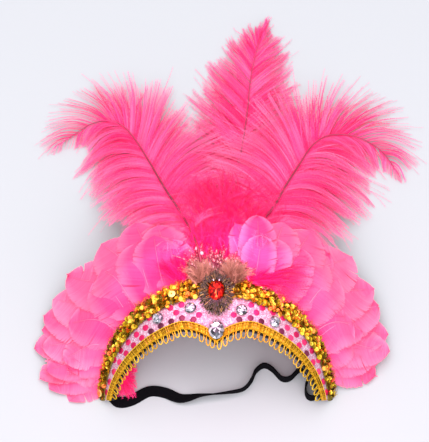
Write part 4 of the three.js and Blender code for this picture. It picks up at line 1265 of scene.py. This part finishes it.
# gimp: ribs across the header, cords along it, and hanging loops of two twisted cords
gimp = {
    "span": 0.995, "rib": 0.5, "ribPitch": 0.98, "ribShares": (0.02, 0.98, 6), "ribOver": 0.75,
    "ribArch": 0.55, "ribUneven": (-0.1, 0.15), "ribLean": 0.0035, "ribLeans": 2.1, "ribLowest": 0.7,
    "cord": 0.42, "cordPlaces": (0.04, 0.5, 0.96), "cordTones": (0.4, 0.2, 0.6), "cordPoints": 300,
    "cordRipple": 0.25, "cordRipples": 1.9, "cordOver": 1.75, "lowest": 0.6,
    "base": {"along": 160, "across": 2, "thick": 0.5},
}
hanging = {
    "count": 46, "span": 0.968, "stations": 17, "cord": 0.34, "twist": 30, "apart": 0.3, "stray": 0.003,
    "skew": 0.004, "halfLeft": 2.3, "halfRight": 2.6, "halves": (0.85, 1.12), "longLeft": 7.4,
    "longRight": 8.4, "longFrom": -0.2, "longs": (0.85, 1.05), "bulge": 0.6, "neck": 0.45,
    "belly": 0.75, "buried": 1.4, "roundness": 0.8, "over": 1, "lift": (-0.5, 0.7), "tones": (0.2, 0.95),
}
rng = np.random.default_rng(71)
a = np.linspace(-gimp["span"], gimp["span"], int(2 * innerHalf / gimp["ribPitch"]))[:, None]
share = np.linspace(*gimp["ribShares"])[None]
n = gap + gimp["ribOver"] + gimp["ribArch"] * np.sin(np.pi * share) + rng.uniform(*gimp["ribUneven"], a.shape)
lean = gimp["ribLean"] * np.sin(np.arange(len(a)) * gimp["ribLeans"])[:, None] * share
s = innerEdge(a) + (headerOuter(a) - innerEdge(a)) * share
ribs = aboveTable(onBand(a + lean, s, n), gimp["ribLowest"])
edgeA = np.linspace(-gimp["span"], gimp["span"], gimp["cordPoints"])
ripple = gimp["cordRipple"] * np.sin(np.arange(len(edgeA)) * gimp["cordRipples"])
headerWide = headerOuter(edgeA) - innerEdge(edgeA)
cords = [onBand(edgeA, innerEdge(edgeA) + headerWide * where + ripple, 0 * edgeA + gap + gimp["cordOver"])
         for where in gimp["cordPlaces"]]
loopCords = []
u = np.linspace(0, 1, hanging["stations"])
bulge = np.sin(np.pi * u) ** hanging["bulge"]
for i in range(hanging["count"]):
    at = hanging["span"] * ((2 * i + 1) / hanging["count"] - 1) + rng.normal(0, hanging["stray"])
    wide = hanging["halfRight" if at > 0 else "halfLeft"] * rng.uniform(*hanging["halves"]) / innerHalf
    long = hanging["longRight" if at > hanging["longFrom"] else "longLeft"] * rng.uniform(*hanging["longs"])
    across = wide * np.cos(np.pi * u) * (hanging["neck"] + hanging["belly"] * bulge)
    across = at - across + rng.normal(0, hanging["skew"]) * bulge
    down = (long + hanging["buried"]) * np.sin(np.pi * u) ** hanging["roundness"] - hanging["buried"]
    path = onBand(across, innerEdge(at) - down, gap + hanging["over"] + rng.uniform(*hanging["lift"]) * bulge)
    path = aboveTable(path, gimp["lowest"])
    side = unit(np.cross(unit(np.gradient(path, axis=0)), bandAxes(at, innerEdge(at))[2][None]))
    up = np.cross(side, unit(np.gradient(path, axis=0)))
    for phase in (0, np.pi):
        twist = phase + u[:, None] * hanging["twist"]
        loopCords.append(path + hanging["apart"] * (side * np.cos(twist) + up * np.sin(twist)))
meshPiece("gimp_header", [
    bandGrid(innerEdge, headerOuter, gimp["base"], gap + gimp["base"]["thick"]),
    tubes(ribs, gimp["rib"], 5, rng.uniform(0, 1, len(a)), up=(0.2, 0.1, 1)),
    tubes(aboveTable(np.array(cords), gimp["lowest"]), gimp["cord"], 5, np.array(gimp["cordTones"])),
], goldThread, ["loop_gimp"])
tones = rng.uniform(*hanging["tones"], len(loopCords))
meshPiece("gimp_loops", [tubes(np.array(loopCords), hanging["cord"], 5, tones, up=(0.3, 0.2, 1))], goldThread)
print("gimp made")

# pearls on stems beside the spotted tuft
pearl = {"radius": 1.7, "flat": 0.96, "spots": [(-15.8, 106.0, 76.0), (-12.1, 101.0, 76.5)],
         "feet": [(-10.0, 92.0, 71.0), (-8.0, 90.0, 71.0)], "stem": 0.3, "stemShares": (0, 0.9, 5)}
pearlModel = ball(14, 9, pearl["radius"], pearl["flat"])
pearlLacquer = toned("palePinkPearl", [(0.3, "#d99aa8"), (0.7, "#eec0c8")],
                     {"Roughness": 0.2, "Coat Weight": 0.7, "Sheen Weight": 0.2}, perMm=0.25)
spots, feet = np.array(pearl["spots"]), np.array(pearl["feet"])
places = [np.concatenate([np.eye(3), spot[:, None]], 1) for spot in spots]
meshPiece("pearls", [copies(pearlModel, places, np.zeros(2))], pearlLacquer)
stems = feet[:, None] + (spots - feet)[:, None] * np.linspace(*pearl["stemShares"])[None, :, None]
meshPiece("pearl_stems", [tubes(stems, pearl["stem"], 5, np.zeros(2))], shaftKeratin)

# elastic strap: woven ribs along it, from one end of the band to the other over the table
strap = {"width": 9, "thick": 1.4, "stations": 180, "ribs": 10, "ribDepth": 0.14, "picks": 1500.0,
         "rollScale": 30}
strapRoute = [
    # across and ahead in shares of the distance between the middle and a foot, roll 0 flat and 1 on its edge
    (-0.987, 0.076, 0), (-0.927, 0.023, 0), (-0.811, 0.046, 0), (-0.649, 0.139, 0), (-0.498, 0.127, 0),
    (-0.336, 0.058, 0.2), (-0.139, 0.081, 0.6), (0.093, 0.104, 0.8), (0.255, 0.139, 0.9), (0.336, 0.232, 1),
    (0.382, 0.336, 1), (0.463, 0.394, 1), (0.544, 0.348, 1), (0.626, 0.255, 1), (0.707, 0.255, 1),
    (0.788, 0.336, 1), (0.846, 0.359, 1), (0.88, 0.278, 1), (0.857, 0.162, 1), (0.869, 0.07, 1),
    (0.927, 0.046, 1), (0.962, 0.093, 1),
]
footX = onBand(1.0, band["reach"])[0]
route = smoothLine([(x * footX, y * footX, roll * strap["rollScale"]) for x, y, roll in strapRoute],
                   strap["stations"] + 1)
roll = np.clip(route[:, 2:] / strap["rollScale"], 0, 1) * np.pi / 2
way = unit(np.gradient(route[:, :2], axis=0))
side = np.stack([way[:, 1], -way[:, 0], 0 * way[:, 0]], -1)
up = np.array([0, 0, 1.0])
wideWay = side * np.cos(roll) + up * np.sin(roll)
flatWay = up * np.cos(roll) - side * np.sin(roll)
middle = (strap["width"] * np.sin(roll) + strap["thick"] * np.cos(roll)) / 2
centre = np.concatenate([route[:, :2], middle], 1)
webbing, flat = startGrid(2 * strap["ribs"], strap["stations"])
station = np.rint((flat[:, 1] + 1) / 2 * strap["stations"]).astype(int)
rib = np.rint((flat[:, 0] + 1) * strap["ribs"]).astype(int)
lift = strap["thick"] / 2 - strap["ribDepth"] * (rib % 2)
laid = centre[station] + wideWay[station] * (flat[:, :1] * strap["width"] / 2)
laid = laid + flatWay[station] * lift[:, None]
points, faces = finishGrid(webbing, laid, strap["thick"] - strap["ribDepth"])
picks = np.tile(station / strap["stations"], 2)  # Solidify keeps the points' order and adds the inner face's
elastic = newMaterial("wovenElastic", {"Roughness": 0.85, "Specular IOR Level": 0.06})
pick = add(elastic, "ShaderNodeMath", {"operation": "MULTIPLY"}, {
    0: mark(elastic, "along"), 1: strap["picks"]}).outputs[0]
weave = add(elastic, "ShaderNodeMath", {"operation": "SINE"}, {0: pick}).outputs[0]
drive(elastic, "Base Color", ramp(elastic, weave, [(0.2, "#070609"), (0.9, "#141217")]))
bumped(elastic, weave, 0.5, 0.2)
meshPiece("strap_weave", [(points, faces, np.full(len(points), 0.5), picks)], elastic,
          ["elastic_strap"], smoothFaces=False)
print("strap made")

print("scene finished")
